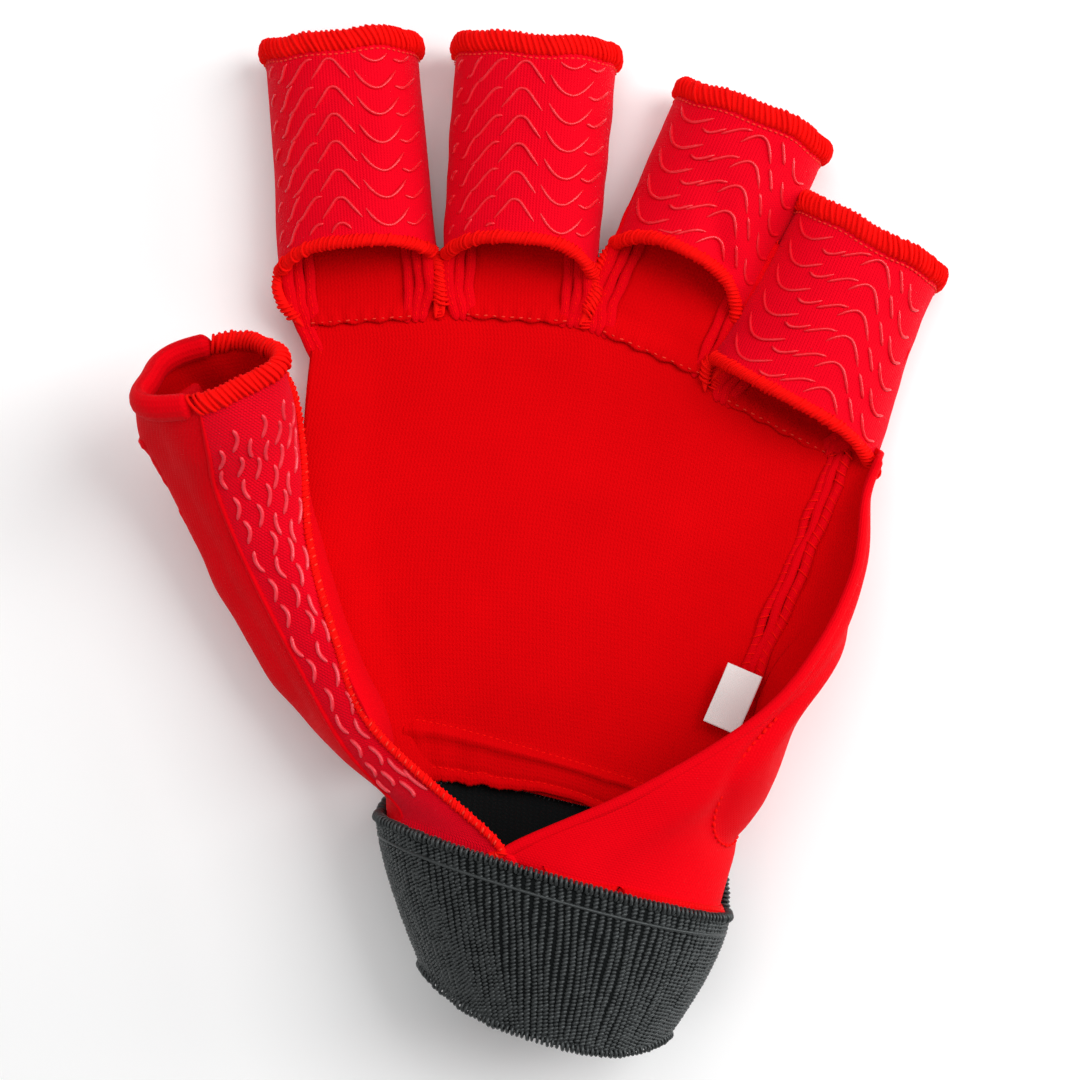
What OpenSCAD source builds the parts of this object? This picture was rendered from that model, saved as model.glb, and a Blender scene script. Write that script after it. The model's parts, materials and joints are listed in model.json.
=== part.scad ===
// Open-palm, half-finger field hockey glove for a left hand, lying on its padded back.
// +X runs towards the little finger, +Y towards the fingertips and +Z out of the palm.
// The origin is on the outer face of the middle back pad, where the glove rests on a table.

/* [Layers] */
// Thickness of the moulded foam pads on the back of the hand
pad_t = 5; // [3:0.5:8]
// Thickness of the outer shell fabric
shell_t = 0.8; // [0.5:0.1:1.4]
// Thickness of the lining
lining_t = 0.8; // [0.5:0.1:1.4]
// Thickness of the printed grip fabric on the palm side of the stalls
grip_t = 1; // [0.7:0.1:1.4]
// Thickness of the laminated side flap and of the thumb panels
flap_t = 1.2; // [0.8:0.1:1.8]
// Thickness of the woven cuff elastic
elastic_t = 1.5; // [1:0.1:2.2]
// Thickness of the foam on the thumb and on the little-finger edge
edge_pad_t = 2.6; // [1.6:0.1:3.6]

/* [Fingers] */
// Width of the index stall across the back
index_w = 29.5; // [24:0.5:36]
// Height of a stall's arch above the back shell
stall_rise = 12.5; // [10:0.5:15.5]
// Length of the index stall from its base seam
index_len = 54.5; // [43:0.5:66]
// Length of the middle stall from its base seam
middle_len = 53.5; // [43:0.5:65]
// Length of the ring stall from its base seam
ring_len = 51; // [41:0.5:62]
// Length of the little stall from its base seam
little_len = 42; // [34:0.5:51]
// Width of an overlocked hem
hem_w = 3.4; // [2.6:0.1:4.4]
// How far a hem stands out on each side of its fabric
hem_swell = 0.4; // [0.2:0.05:0.6]

/* [Hand] */
// Distance from the origin up to the base seam of the middle finger
knuckle_y = 44; // [36:0.5:53]
// Distance from the origin down to the front edge of the cuff
wrist_y = 62; // [52:0.5:75]
// Height of the thumb mouth's centre above the table
thumb_rise = 33; // [29:0.5:40]
// Width of the care label
label_w = 12; // [8:0.5:16]

/* [Cuff] */
// Half width of the cuff at its front edge
cuff_half_w = 35; // [29:0.5:42]
// Half width of the cuff at the wrist opening
wrist_half_w = 22.5; // [20:0.5:27]
// Half height of the cuff tube
cuff_half_h = 17.5; // [14.5:0.5:21]
// Length of the cuff on the palm side
band_len = 29; // [22:0.5:36]

/* [Clearance] */
// Gap between sewn pieces that lie on each other
sew_gap = 0.1; // [0.05:0.05:0.2]
// Gap between curved faces, and between pieces on either side of a hinge
fit_gap = 0.35; // [0.3:0.05:0.6]

/* [Hidden] */
$fn = 48;
FINGERS = ["index", "middle", "ring", "little"];
FINGER_PARTS = ["grip_panel", "back_lining", "back_shell", "back_pad", "tip_hem", "base_hem"];

RED = "#d80a14";
DARK_RED = "#b20810";
BLACK = "#1c1e20";
WHITE = "#e8e0dc";

// Heights of the layers above the table
shell_z = pad_t;
lining_z = shell_z + shell_t;
inside_z = lining_z + lining_t;

// The stalls keep the proportions that these nominal sizes give
kx = index_w / 29.5;
ky_up = knuckle_y / 44;
ky_down = wrist_y / 62;
FINGER_LENS = [index_len, middle_len, ring_len, little_len];
FINGER_WIDTHS = [29.5, 28.5, 27, 28.5] * kx;
STRIP_WIDTHS = [19, 19, 20, 21] * kx;
// Lean of each stall, clockwise from +Y
LEANS = [-4, 4, 23.5, 28];
// Base seams, measured from the middle finger's
BASE_X = [-35.2, -4.6, 22, 46.6] * kx;
BASE_DROP = [-0.4, 0, -6.8, -21.4] * kx;
// Where the full width of a stall starts, past its base seam
FOOT_V = [2, 2, 6.5, 3.5];
// A hinge is on the base seam, between shell and lining
hinge_v = 1.2;

function finger_pos(i) = [BASE_X[i], knuckle_y + BASE_DROP[i], 0];
function at(x, y, z) = [x * kx, y < 0 ? y * ky_down : y * ky_up, z];
function lerp(a, b, t) = a + (b - a) * t;
function unit(v) = v / norm(v);

// A point at t in 0 to 1 on a smooth curve through a list of points
function along(points, t) =
    let (last = len(points) - 1,
         at_span = min(floor(t * last), last - 1),
         s = t * last - at_span,
         b = points[at_span],
         c = points[at_span + 1],
         a = at_span > 0 ? points[at_span - 1] : 2 * b - c,
         d = at_span + 2 <= last ? points[at_span + 2] : 2 * c - b)
    0.5 * (2 * b + (c - a) * s + (2 * a - 5 * b + 4 * c - d) * s * s + (3 * b - a - 3 * c + d) * s * s * s);
function bezier(p, t) =
    p[0] * pow(1 - t, 3) + p[1] * 3 * t * pow(1 - t, 2) + p[2] * 3 * t * t * (1 - t) + p[3] * pow(t, 3);

// Rows of points between stations, each station a list of as many points
function loft(stations, rows) =
    [for (i = [0 : rows])
        [for (j = [0 : len(stations[0]) - 1])
            along([for (s = stations) s[j]], i / rows)]];
function grid_normal(g, i, j) =
    let (n = len(g) - 1, m = len(g[0]) - 1,
         du = g[min(i + 1, n)][j] - g[max(i - 1, 0)][j],
         dv = g[i][min(j + 1, m)] - g[i][max(j - 1, 0)])
    unit(cross(du, dv));
function moved_grid(g, d) =
    [for (i = [0 : len(g) - 1])
        [for (j = [0 : len(g[0]) - 1]) g[i][j] + d * grid_normal(g, i, j)]];

// A sheet between two grids of as many points, closed round its rim
module thick_sheet(near, far) {
    n = len(near);
    m = len(near[0]);
    size = n * m;
    function id(i, j, side) = side * size + i * m + j;
    function quad(a, b, c, d) = [[a, b, c], [a, c, d]];
    flat = [for (g = [near, far], row = g, p = row) p];
    faces = concat(
        [for (i = [0 : n - 2], j = [0 : m - 2])
            each quad(id(i, j, 0), id(i, j + 1, 0), id(i + 1, j + 1, 0), id(i + 1, j, 0))],
        [for (i = [0 : n - 2], j = [0 : m - 2])
            each quad(id(i, j, 1), id(i + 1, j, 1), id(i + 1, j + 1, 1), id(i, j + 1, 1))],
        [for (i = [0 : n - 2])
            each quad(id(i, 0, 0), id(i + 1, 0, 0), id(i + 1, 0, 1), id(i, 0, 1))],
        [for (i = [0 : n - 2])
            each quad(id(i, m - 1, 0), id(i, m - 1, 1), id(i + 1, m - 1, 1), id(i + 1, m - 1, 0))],
        [for (j = [0 : m - 2])
            each quad(id(0, j, 0), id(0, j, 1), id(0, j + 1, 1), id(0, j + 1, 0))],
        [for (j = [0 : m - 2])
            each quad(id(n - 1, j, 0), id(n - 1, j + 1, 0), id(n - 1, j + 1, 1), id(n - 1, j, 1))]);
    polyhedron(points = flat, faces = faces, convexity = 6);
}

// ---- Finger stalls, drawn along +Y from the base seam and then put in place ----

function arch_r(i) = (pow(FINGER_WIDTHS[i] / 2, 2) + pow(stall_rise, 2)) / (2 * stall_rise);
function cut_r(i) = FINGER_WIDTHS[i] * 0.55;
function cut_v(i) = FOOT_V[i] + 11 - cut_r(i);

module place_finger(i) {
    translate(finger_pos(i))
        rotate([0, 0, -LEANS[i]])
            children();
}

// The 2D stall section above a floor height, grown outwards by grow
module stall_section(i, grow, floor_z) {
    intersection() {
        translate([0, lining_z + stall_rise - arch_r(i)])
            circle(r = arch_r(i) + grow);
        translate([-FINGER_WIDTHS[i], floor_z])
            square([2 * FINGER_WIDTHS[i], 2 * stall_rise]);
    }
}

module stall_ring(i, grow_out, grow_in, low_z, high_z, from_v, to_v) {
    translate([0, to_v, 0])
        rotate([90, 0, 0])
            linear_extrude(to_v - from_v)
                difference() {
                    stall_section(i, grow_out, low_z);
                    stall_section(i, grow_in, high_z);
                }
}

// The round palm-side cut at the base of a stall
module base_cut(i, r) {
    translate([0, cut_v(i), 0])
        cylinder(r = r, h = 4 * stall_rise);
}

module grip_panel(i) {
    color(RED)
        difference() {
            stall_ring(i, 0, -grip_t, lining_z + sew_gap, -1,
                FOOT_V[i], FINGER_LENS[i] - hem_w - sew_gap);
            base_cut(i, cut_r(i) + hem_w + sew_gap);
        }
}

module base_hem(i) {
    color(DARK_RED)
        intersection() {
            stall_ring(i, hem_swell, -grip_t - hem_swell, lining_z + sew_gap, -1,
                FOOT_V[i], FINGER_LENS[i] - hem_w - sew_gap);
            difference() {
                base_cut(i, cut_r(i) + hem_w);
                base_cut(i, cut_r(i));
            }
        }
}

module tip_hem(i) {
    color(DARK_RED)
        stall_ring(i, hem_swell, -grip_t - hem_swell, shell_z - hem_swell, inside_z + hem_swell,
            FINGER_LENS[i] - hem_w, FINGER_LENS[i]);
}

module back_lining(i) {
    color(RED)
        translate([-STRIP_WIDTHS[i] / 2, hinge_v, lining_z])
            cube([STRIP_WIDTHS[i], FINGER_LENS[i] - hem_w - sew_gap - hinge_v, lining_t]);
}

module back_shell(i) {
    strip = STRIP_WIDTHS[i] / 2;
    full = FINGER_WIDTHS[i] / 2;
    end_v = FINGER_LENS[i] - hem_w - sew_gap;
    color(RED)
        translate([0, 0, shell_z])
            linear_extrude(shell_t)
                polygon([[-strip, fit_gap], [strip, fit_gap], [strip, FOOT_V[i]], [full, FOOT_V[i]],
                    [full, end_v], [-full, end_v], [-full, FOOT_V[i]], [-strip, FOOT_V[i]]]);
}

// Two foam blocks on the back of a finger, with a flex groove between them
module back_pad(i) {
    width = STRIP_WIDTHS[i] + 1;
    start = 1.5;
    stop = FINGER_LENS[i] - hem_w - 2;
    groove = 1.2;
    mid = lerp(start, stop, 0.52);
    color(DARK_RED)
        for (span = [[start, mid - groove], [mid + groove, stop]])
            linear_extrude(shell_z)
                offset(r = 3)
                    translate([3 - width / 2, span[0] + 3])
                        square([width - 6, span[1] - span[0] - 6]);
}

module finger_piece(i, piece) {
    place_finger(i) {
        if (piece == "grip_panel") grip_panel(i);
        if (piece == "back_lining") back_lining(i);
        if (piece == "back_shell") back_shell(i);
        if (piece == "back_pad") back_pad(i);
        if (piece == "tip_hem") tip_hem(i);
        if (piece == "base_hem") base_hem(i);
    }
}

// ---- Cuff: a tube that narrows to the wrist, domed on the palm side and flatter below ----

cuff_lean = 16;
cuff_across = [cos(cuff_lean), -sin(cuff_lean), 0];
cuff_z = shell_z + cuff_half_h - elastic_t - sew_gap;
under_squareness = 0.62;
function eased(v, power) = sign(v) * pow(abs(v), power);

// s is 0 at the front edge on the palm side and 1 at the wrist opening; inset is measured inwards
function cuff_point(s, angle, inset) =
    let (past = max(s, 0),
         half_w = lerp(cuff_half_w, wrist_half_w, pow(past, 1.7)) - inset,
         half_h = cuff_half_h - 1.5 * past * past - inset,
         power = sin(angle) < 0 ? under_squareness : 1,
         centre = at(2.5, -62, cuff_z) + [-1.8 * past, -band_len * s, -0.6 * past])
    centre + half_w * eased(cos(angle), power) * cuff_across + [0, 0, half_h * eased(sin(angle), power)];

// The back of the cuff reaches up to the lower edge of the hand, and meets the front edge at its sides
function back_reach(angle) =
    -(0.38 + 0.17 * cos(angle)) * 28 / band_len * (1 - pow(abs(angle - 270) / 82, 2.5));
cuff_rows = 6;
cuff_columns = 14;
function cuff_grid(a0, a1, inset, reaches) =
    [for (i = [0 : cuff_rows])
        [for (j = [0 : cuff_columns])
            let (angle = lerp(a0, a1, j / cuff_columns), s0 = reaches ? back_reach(angle) : 0)
            cuff_point(lerp(s0, 1, i / cuff_rows), angle, inset)]];
cuff_seam_gap = 0.6;

module cuff_front() {
    a0 = -8 + cuff_seam_gap;
    a1 = 188 - cuff_seam_gap;
    color(BLACK)
        thick_sheet(cuff_grid(a0, a1, elastic_t, false), cuff_grid(a0, a1, 0, false));
}

module cuff_back() {
    a0 = 188 + cuff_seam_gap;
    a1 = 352 - cuff_seam_gap;
    color(BLACK)
        thick_sheet(cuff_grid(a0, a1, elastic_t, true), cuff_grid(a0, a1, 0, true));
}

// ---- Side flap on the little-finger edge: up from the back and over the palm to the cuff ----

flap_z = inside_z + 2 * fit_gap;
flap_inset = elastic_t + 2 * fit_gap;
flap_tuck = 0.14;
flap_points = 12;
// Each section runs from the side seam round the edge of the hand to the border of the palm opening
FLAP_SECTIONS = [
    [at(57.5, 11, flap_z), at(64, 10.5, flap_z), at(66.5, 9.5, 11), at(63.5, 8.5, 15)],
    [at(53, -3, flap_z), at(61, -3, flap_z), at(67, -4, 18), at(60.5, -5.7, 22)],
    [at(47.5, -16, flap_z), at(57, -17, flap_z), at(64, -20, 26), at(52.4, -20.6, 29)],
    [at(42, -30, flap_z), at(52, -31, flap_z), at(57, -35, 32), at(40.7, -33.3, 33)],
    [at(36, -45, flap_z), at(53, -46, flap_z), at(52, -49, 37), at(18.3, -46.5, 36)]];
function flap_section(k) = [for (j = [0 : flap_points]) bezier(FLAP_SECTIONS[k], j / flap_points)];
function flap_cuff_section(s) =
    [for (j = [0 : flap_points]) cuff_point(s, lerp(-25, 104, j / flap_points), flap_inset)];

flap_rows = 20;
flap_grid = loft(concat([for (k = [0 : 4]) flap_section(k)],
    [flap_cuff_section(-0.1), flap_cuff_section(0), flap_cuff_section(flap_tuck)]), flap_rows);

module side_flap() {
    color(RED)
        thick_sheet(flap_grid, moved_grid(flap_grid, flap_t));
}

// Foam that wraps the outside of the flap, under the stitched oval
module little_side_pad() {
    outer = moved_grid(flap_grid, -fit_gap);
    inner = moved_grid(flap_grid, -fit_gap - edge_pad_t);
    color(DARK_RED)
        thick_sheet([for (i = [8 : 15]) [for (j = [2 : 7]) inner[i][j]]],
            [for (i = [8 : 15]) [for (j = [2 : 7]) outer[i][j]]]);
}

// Overlocked seam allowance inside the little-finger edge
seam_h = 1.8;
module side_seam() {
    seam_w = 3.2;
    path = [at(55, 10, 0), at(50.5, -3, 0), at(45, -16, 0), at(39.5, -29, 0)];
    low = [for (i = [0 : 8])
        [for (j = [0 : 1]) along(path, i / 8) + [(j - 1) * seam_w, 0, inside_z + sew_gap]]];
    color(DARK_RED)
        thick_sheet([for (row = low) [for (p = row) p + [0, 0, seam_h]]], low);
}

// ---- Thumb: a tube that leaves the cuff and rises from the table ----

// Centre, half width and half height of each section, from the cuff to the mouth
THUMB_SECTIONS = [
    [at(-31, -36, 18.5), 9.5, 11],
    [at(-40, -20, 17.2), 11, 9.8],
    [at(-49, -2, 17.2), 12.3, 9.8],
    [at(-55.5, 14, 21.5), 13, 10],
    [at(-59, 22.5, lerp(21.5, thumb_rise, 0.52)), 13.4, 10.2],
    [at(-62, 29, thumb_rise), 13.7, 10.5]];
thumb_points = 12;
split = 3;
last = len(THUMB_SECTIONS) - 1;
thumb_path = [for (section = THUMB_SECTIONS) section[0]];
function thumb_dir(k) = unit(thumb_path[min(k + 1, last)] - thumb_path[max(k - 1, 0)]);
function thumb_across(k) = unit([thumb_dir(k)[1], -thumb_dir(k)[0], 0]);
function thumb_front(k) = cross(thumb_across(k), thumb_dir(k));
// Angle 0 is the index side, 90 the palm side and 180 the outer side; k need not be whole
function thumb_ring_point(k, angle, inset) =
    THUMB_SECTIONS[k][0]
        + (THUMB_SECTIONS[k][1] * kx - inset) * cos(angle) * thumb_across(k)
        + (THUMB_SECTIONS[k][2] - inset) * sin(angle) * thumb_front(k);
function thumb_ring(k, a0, a1, inset) =
    [for (j = [0 : thumb_points]) thumb_ring_point(k, lerp(a0, a1, j / thumb_points), inset)];
function thumb_cuff_ring(s, a0, a1, inset) =
    [for (j = [0 : thumb_points]) cuff_point(s, lerp(a0, a1, j / thumb_points), flap_inset + inset)];
// Each panel's stretch of the section
GRIP_ARC = [-24, 128];
BACK_ARC = [130, 312];
PAD_ARC = [175, 262];
GRIP_CUFF_ARC = [112, 168];
BACK_CUFF_ARC = [171, 210];
hinge_half_gap = 0.25;

module thumb_panel(stations, thickness, rows) {
    thick_sheet(loft([for (s = stations) s[1]], rows), loft([for (s = stations) s[0]], rows));
}
// A section as its outer and inner curve
function skin(k, arc, out, inner, shift) =
    [[for (p = thumb_ring(k, arc[0], arc[1], -out)) p + shift * thumb_dir(k)],
     [for (p = thumb_ring(k, arc[0], arc[1], inner)) p + shift * thumb_dir(k)]];
function cuff_skin(s, arc) =
    [thumb_cuff_ring(s, arc[0], arc[1], 0), thumb_cuff_ring(s, arc[0], arc[1], flap_t)];
function thumb_base_stations(arc, cuff_arc) =
    [cuff_skin(flap_tuck, cuff_arc), cuff_skin(0, cuff_arc), cuff_skin(-0.12, cuff_arc),
     skin(0, arc, 0, flap_t, 0), skin(1, arc, 0, flap_t, 0), skin(2, arc, 0, flap_t, 0),
     skin(split, arc, 0, flap_t, -hinge_half_gap)];
function thumb_tip_stations(arc) =
    [skin(split, arc, 0, flap_t, hinge_half_gap), skin(split + 1, arc, 0, flap_t, 0),
     skin(last, arc, 0, flap_t, -hem_w - sew_gap)];

module thumb_base_grip() {
    color(RED)
        thumb_panel(thumb_base_stations(GRIP_ARC, GRIP_CUFF_ARC), flap_t, 14);
}

module thumb_base_back() {
    color(RED)
        thumb_panel(thumb_base_stations(BACK_ARC, BACK_CUFF_ARC), flap_t, 14);
}

module thumb_tip_grip() {
    color(RED)
        thumb_panel(thumb_tip_stations(GRIP_ARC), flap_t, 6);
}

module thumb_tip_back() {
    color(RED)
        thumb_panel(thumb_tip_stations(BACK_ARC), flap_t, 6);
}

module thumb_tip_hem() {
    arc = [-24, 333];
    color(DARK_RED)
        thumb_panel([skin(last, arc, hem_swell, flap_t + hem_swell, -hem_w),
            skin(last, arc, hem_swell, flap_t + hem_swell, 0)], flap_t, 2);
}

module thumb_tip_pad() {
    color(DARK_RED)
        thumb_panel([skin(split, PAD_ARC, fit_gap + edge_pad_t, -fit_gap, 1.5),
            skin(split + 1, PAD_ARC, fit_gap + edge_pad_t, -fit_gap, 0),
            skin(last, PAD_ARC, fit_gap + edge_pad_t, -fit_gap, -hem_w - 1.5)], 0, 5);
}

module thumb_base_pad() {
    color(DARK_RED)
        thumb_panel([skin(1, PAD_ARC, fit_gap + edge_pad_t, -fit_gap, 0),
            skin(2, PAD_ARC, fit_gap + edge_pad_t, -fit_gap, 0),
            skin(split, PAD_ARC, fit_gap + edge_pad_t, -fit_gap, -1.5)], 0, 8);
}

// Overlocked edge of the thumb's grip fabric, beside the palm opening
module thumb_edge_seam() {
    arc = [-28, -41];
    swell = 0.5;
    stations = concat([skin(1, arc, swell, flap_t + swell, 0)],
        [skin(2, arc, swell, flap_t + swell, 0)],
        [skin(split, arc, swell, flap_t + swell, -1)]);
    lofted = [for (side = [1, 0]) loft([for (s = stations) s[side]], 12)];
    color(DARK_RED)
        thick_sheet([for (row = lofted[1]) [for (j = [0 : 3 : 12]) row[j]]],
            [for (row = lofted[0]) [for (j = [0 : 3 : 12]) row[j]]]);
}

// ---- Hand ----

function base_seam_points(back_off) =
    [for (i = [0 : 3], side = [-1, 1])
        let (p = finger_pos(i), a = LEANS[i], u = side * STRIP_WIDTHS[i] / 2)
        [p[0] + u * cos(a) - back_off * sin(a), p[1] - u * sin(a) - back_off * cos(a)]];
function flat_at(x, y) = [at(x, y, 0)[0], at(x, y, 0)[1]];
HAND_RIGHT = [flat_at(57.5, 12), flat_at(53, -3), flat_at(47.5, -16), flat_at(42, -30), flat_at(36, -43)];
HAND_LEFT = [flat_at(-33, -38), flat_at(-40, -20), flat_at(-45, -2), flat_at(-46.5, 16), flat_at(-48.5, 36)];
// The lower edge follows the back of the cuff
function wrist_edge(angle, up) =
    let (p = cuff_point(back_reach(angle), angle, 0)) [p[0], p[1] + fit_gap + up];
HAND_LOW = [for (angle = [318 : -8 : 222]) wrist_edge(angle, 0)];

module hand_outline() {
    polygon(concat(base_seam_points(fit_gap), HAND_RIGHT, HAND_LOW, HAND_LEFT));
}

module hand_lining() {
    color(RED)
        translate([0, 0, lining_z])
            linear_extrude(lining_t)
                hand_outline();
}

module hand_shell() {
    color(RED)
        translate([0, 0, shell_z])
            linear_extrude(shell_t)
                hand_outline();
}

// Grooves between the foam blocks: height at the left and right sides of the hand
GROOVES = [[30, 4], [17, -4], [1, -16], [-15, -28], [-31, -40]];
groove_half = 1.1;

// The foam block between two grooves
module back_block(k, left_x, right_x, corner) {
    function edge(i, x, off) = flat_at(x, lerp(GROOVES[i][0], GROOVES[i][1], (x + 45) / 95) + off);
    color(DARK_RED)
        linear_extrude(shell_z)
            offset(r = corner)
                offset(delta = -corner)
                    polygon([edge(k, left_x, -groove_half), edge(k, right_x, -groove_half),
                        edge(k + 1, right_x - 4, groove_half), edge(k + 1, left_x + 3, groove_half)]);
}

module knuckle_pad() {
    edge = base_seam_points(1.5);
    depth = 13 * ky_up;
    color(DARK_RED)
        linear_extrude(shell_z)
            offset(r = 3)
                offset(delta = -3)
                    polygon(concat(edge,
                        [for (k = [7 : -1 : 0]) edge[k] + [-depth * sin(8 * k / 2), -depth * cos(8 * k / 2)]]));
}

module upper_pad() {
    back_block(0, -42, 48, 4);
}

module middle_pad() {
    back_block(1, -41, 46, 4);
}

module lower_pad() {
    back_block(2, -38, 42, 4);
}

module wrist_pad() {
    back_block(3, -34, 37, 4);
}

// Bar tacks that close the webs between the stalls
module web_tacks() {
    tack = [3.4, 1.6, 1.2];
    color(DARK_RED)
        for (i = [0 : 2]) {
            points = base_seam_points(fit_gap);
            spot = (points[2 * i + 1] + points[2 * i + 2]) / 2;
            translate([spot[0], spot[1] - 3.2, inside_z + sew_gap])
                rotate([0, 0, -(LEANS[i] + LEANS[i + 1]) / 2])
                    translate([-tack[0] / 2, -tack[1] / 2, 0])
                        cube(tack);
        }
}

// Turned facing along the lower edge of the lining, wider towards the thumb
module wrist_facing() {
    rise = inside_z + sew_gap;
    low = [for (angle = [306 : -8 : 226])
        let (wide = lerp(4.5, 12, (306 - angle) / 80), top = wrist_edge(angle, 0.8 + wide), low = wrist_edge(angle, 0.8))
        [[top[0], top[1], rise], [low[0], low[1], rise]]];
    color(DARK_RED)
        thick_sheet([for (row = low) [for (p = row) p + [0, 0, lining_t]]], low);
}

// Blank care label, sewn into the side seam
module care_label() {
    label_len = 8;
    label_t = 0.4;
    color(WHITE)
        translate(at(37.6, -31, inside_z + 4 * sew_gap + seam_h))
            rotate([0, 0, 67])
                translate([-label_w / 2, -label_len / 2, 0])
                    cube([label_w, label_len, label_t]);
}

for (i = [0 : 3], piece = FINGER_PARTS)
    finger_piece(i, piece);
thumb_tip_grip();
thumb_tip_back();
thumb_tip_hem();
thumb_tip_pad();
thumb_base_grip();
thumb_base_back();
thumb_base_pad();
thumb_edge_seam();
hand_lining();
hand_shell();
knuckle_pad();
upper_pad();
middle_pad();
lower_pad();
wrist_pad();
little_side_pad();
side_flap();
side_seam();
web_tacks();
wrist_facing();
cuff_front();
cuff_back();
care_label();
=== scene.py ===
"""Half-finger field hockey glove, left hand, lying palm up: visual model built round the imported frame."""

import json
import math

import bmesh
import bpy
import numpy as np
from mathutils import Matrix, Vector


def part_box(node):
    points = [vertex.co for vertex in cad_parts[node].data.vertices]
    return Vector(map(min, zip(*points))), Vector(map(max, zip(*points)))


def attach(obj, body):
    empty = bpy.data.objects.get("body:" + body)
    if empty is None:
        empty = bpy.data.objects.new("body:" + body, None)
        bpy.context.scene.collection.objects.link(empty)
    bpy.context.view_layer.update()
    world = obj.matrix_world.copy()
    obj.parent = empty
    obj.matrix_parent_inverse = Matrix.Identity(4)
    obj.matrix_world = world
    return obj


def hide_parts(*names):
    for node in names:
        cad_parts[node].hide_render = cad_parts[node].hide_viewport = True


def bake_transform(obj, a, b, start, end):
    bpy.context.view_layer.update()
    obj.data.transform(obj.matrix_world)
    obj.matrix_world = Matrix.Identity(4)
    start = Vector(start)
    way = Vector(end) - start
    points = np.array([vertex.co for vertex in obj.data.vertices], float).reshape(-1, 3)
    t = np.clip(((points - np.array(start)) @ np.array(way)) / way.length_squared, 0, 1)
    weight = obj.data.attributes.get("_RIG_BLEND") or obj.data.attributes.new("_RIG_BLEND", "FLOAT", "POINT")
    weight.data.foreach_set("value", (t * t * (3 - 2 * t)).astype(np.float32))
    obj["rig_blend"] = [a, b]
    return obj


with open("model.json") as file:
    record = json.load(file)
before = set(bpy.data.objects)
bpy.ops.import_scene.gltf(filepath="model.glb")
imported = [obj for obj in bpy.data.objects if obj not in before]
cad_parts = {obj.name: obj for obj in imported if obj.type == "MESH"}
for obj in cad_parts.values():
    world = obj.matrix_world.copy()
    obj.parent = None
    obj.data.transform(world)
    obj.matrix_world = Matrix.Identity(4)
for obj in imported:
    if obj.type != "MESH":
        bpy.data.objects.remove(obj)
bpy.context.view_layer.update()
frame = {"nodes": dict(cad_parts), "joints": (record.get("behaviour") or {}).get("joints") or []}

bl_info = {
    "name": "Open palm hockey glove",
    "version": (1, 0, 0),
    "blender": (4, 5, 0),
    "location": "View3D > Sidebar > Glove",
    "description": "Sews a half-finger hockey glove with gripping stalls, foam back and knitted cuff",
    "category": "Add Mesh",
}

MM = 0.001
FINGERS = ("index", "middle", "ring", "little")
# Where the layers lie above the table, in millimetres, as in the construction model
SHELL_TOP = 5.8
LINING_TOP = 6.6
STALL_FLOOR = 6.4
# Thickness of each cloth as it is sewn, in millimetres
PALM_WALL = 0.7
FINGER_LINING_WALL = 0.6
SHELL_WALL = 0.75
THUMB_GRIP_WALL = 1.15
THUMB_BACK_WALL = 1.2
FLAP_WALL = 1.25
CUFF_WALL = 1.1
HALF_TURN = math.pi
FULL_TURN = 2 * math.pi
UP = np.array([0, 0, 1.0])


# ---- Measures taken from the frame ----


def node_points(node):
    """Corners of a construction node, in millimetres."""
    mesh = frame["nodes"][node].data
    return np.array([v.co for v in mesh.vertices], float).reshape(-1, 3) / MM


def joint_line(name):
    """A hinge's place in millimetres and its unit axis."""
    joint = next(j for j in frame["joints"] if j["name"] == name)
    axis = np.array(joint["axis"], float)
    return np.array(joint["pos_m"], float) / MM, axis / np.linalg.norm(axis)


# ---- Curves and grids, all in millimetres ----


def spline(points, t):
    """Points at t from 0 to 1 on a smooth curve through control points or rows of them."""
    p = np.asarray(points, float)
    t = np.atleast_1d(np.asarray(t, float)) * (len(p) - 1)
    k = np.clip(np.floor(t).astype(int), 0, len(p) - 2)
    s = (t - k).reshape(-1, *[1] * (p.ndim - 1))
    q = np.concatenate([[2 * p[0] - p[1]], p, [2 * p[-1] - p[-2]]])
    a, b, c, d = q[k], q[k + 1], q[k + 2], q[k + 3]
    return 0.5 * (
        2 * b
        + (c - a) * s
        + (2 * a - 5 * b + 4 * c - d) * s**2
        + (3 * b - a - 3 * c + d) * s**3
    )


def run_along(path):
    """Distance from the start of a path to each of its points."""
    return np.concatenate([[0], np.cumsum(np.linalg.norm(np.diff(path, axis=0), axis=1))])


def evenly(points, count):
    """The same path with points an even distance apart."""
    p = np.asarray(points, float)
    run = run_along(p)
    at = np.linspace(0, run[-1], count)
    return np.stack([np.interp(at, run, p[:, k]) for k in range(p.shape[1])], 1)


def lerp(a, b, t):
    return a + (b - a) * t


def smooth(x, low, high):
    t = np.clip((x - low) / (high - low), 0, 1)
    return t * t * (3 - 2 * t)


def unit(v):
    v = np.asarray(v, float)
    return v / np.maximum(np.linalg.norm(v, axis=-1, keepdims=True), 1e-9)


def grid_normals(grid):
    return unit(np.cross(np.gradient(grid, axis=1), np.gradient(grid, axis=0)))


def ruffled(grid, height, wave, seed):
    """A grid moved along its normals by soft, seeded undulations."""
    rng = np.random.default_rng(seed)
    total = np.zeros(grid.shape[:2])
    for _ in range(7):
        lean, shift = rng.uniform(0, FULL_TURN, 2)
        rate = FULL_TURN / (wave * rng.uniform(0.6, 1.7))
        run = grid[..., 0] * math.cos(lean) + grid[..., 1] * math.sin(lean)
        total += np.sin(rate * run + shift)
    return grid + grid_normals(grid) * (total * height / 3)[..., None]


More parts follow.
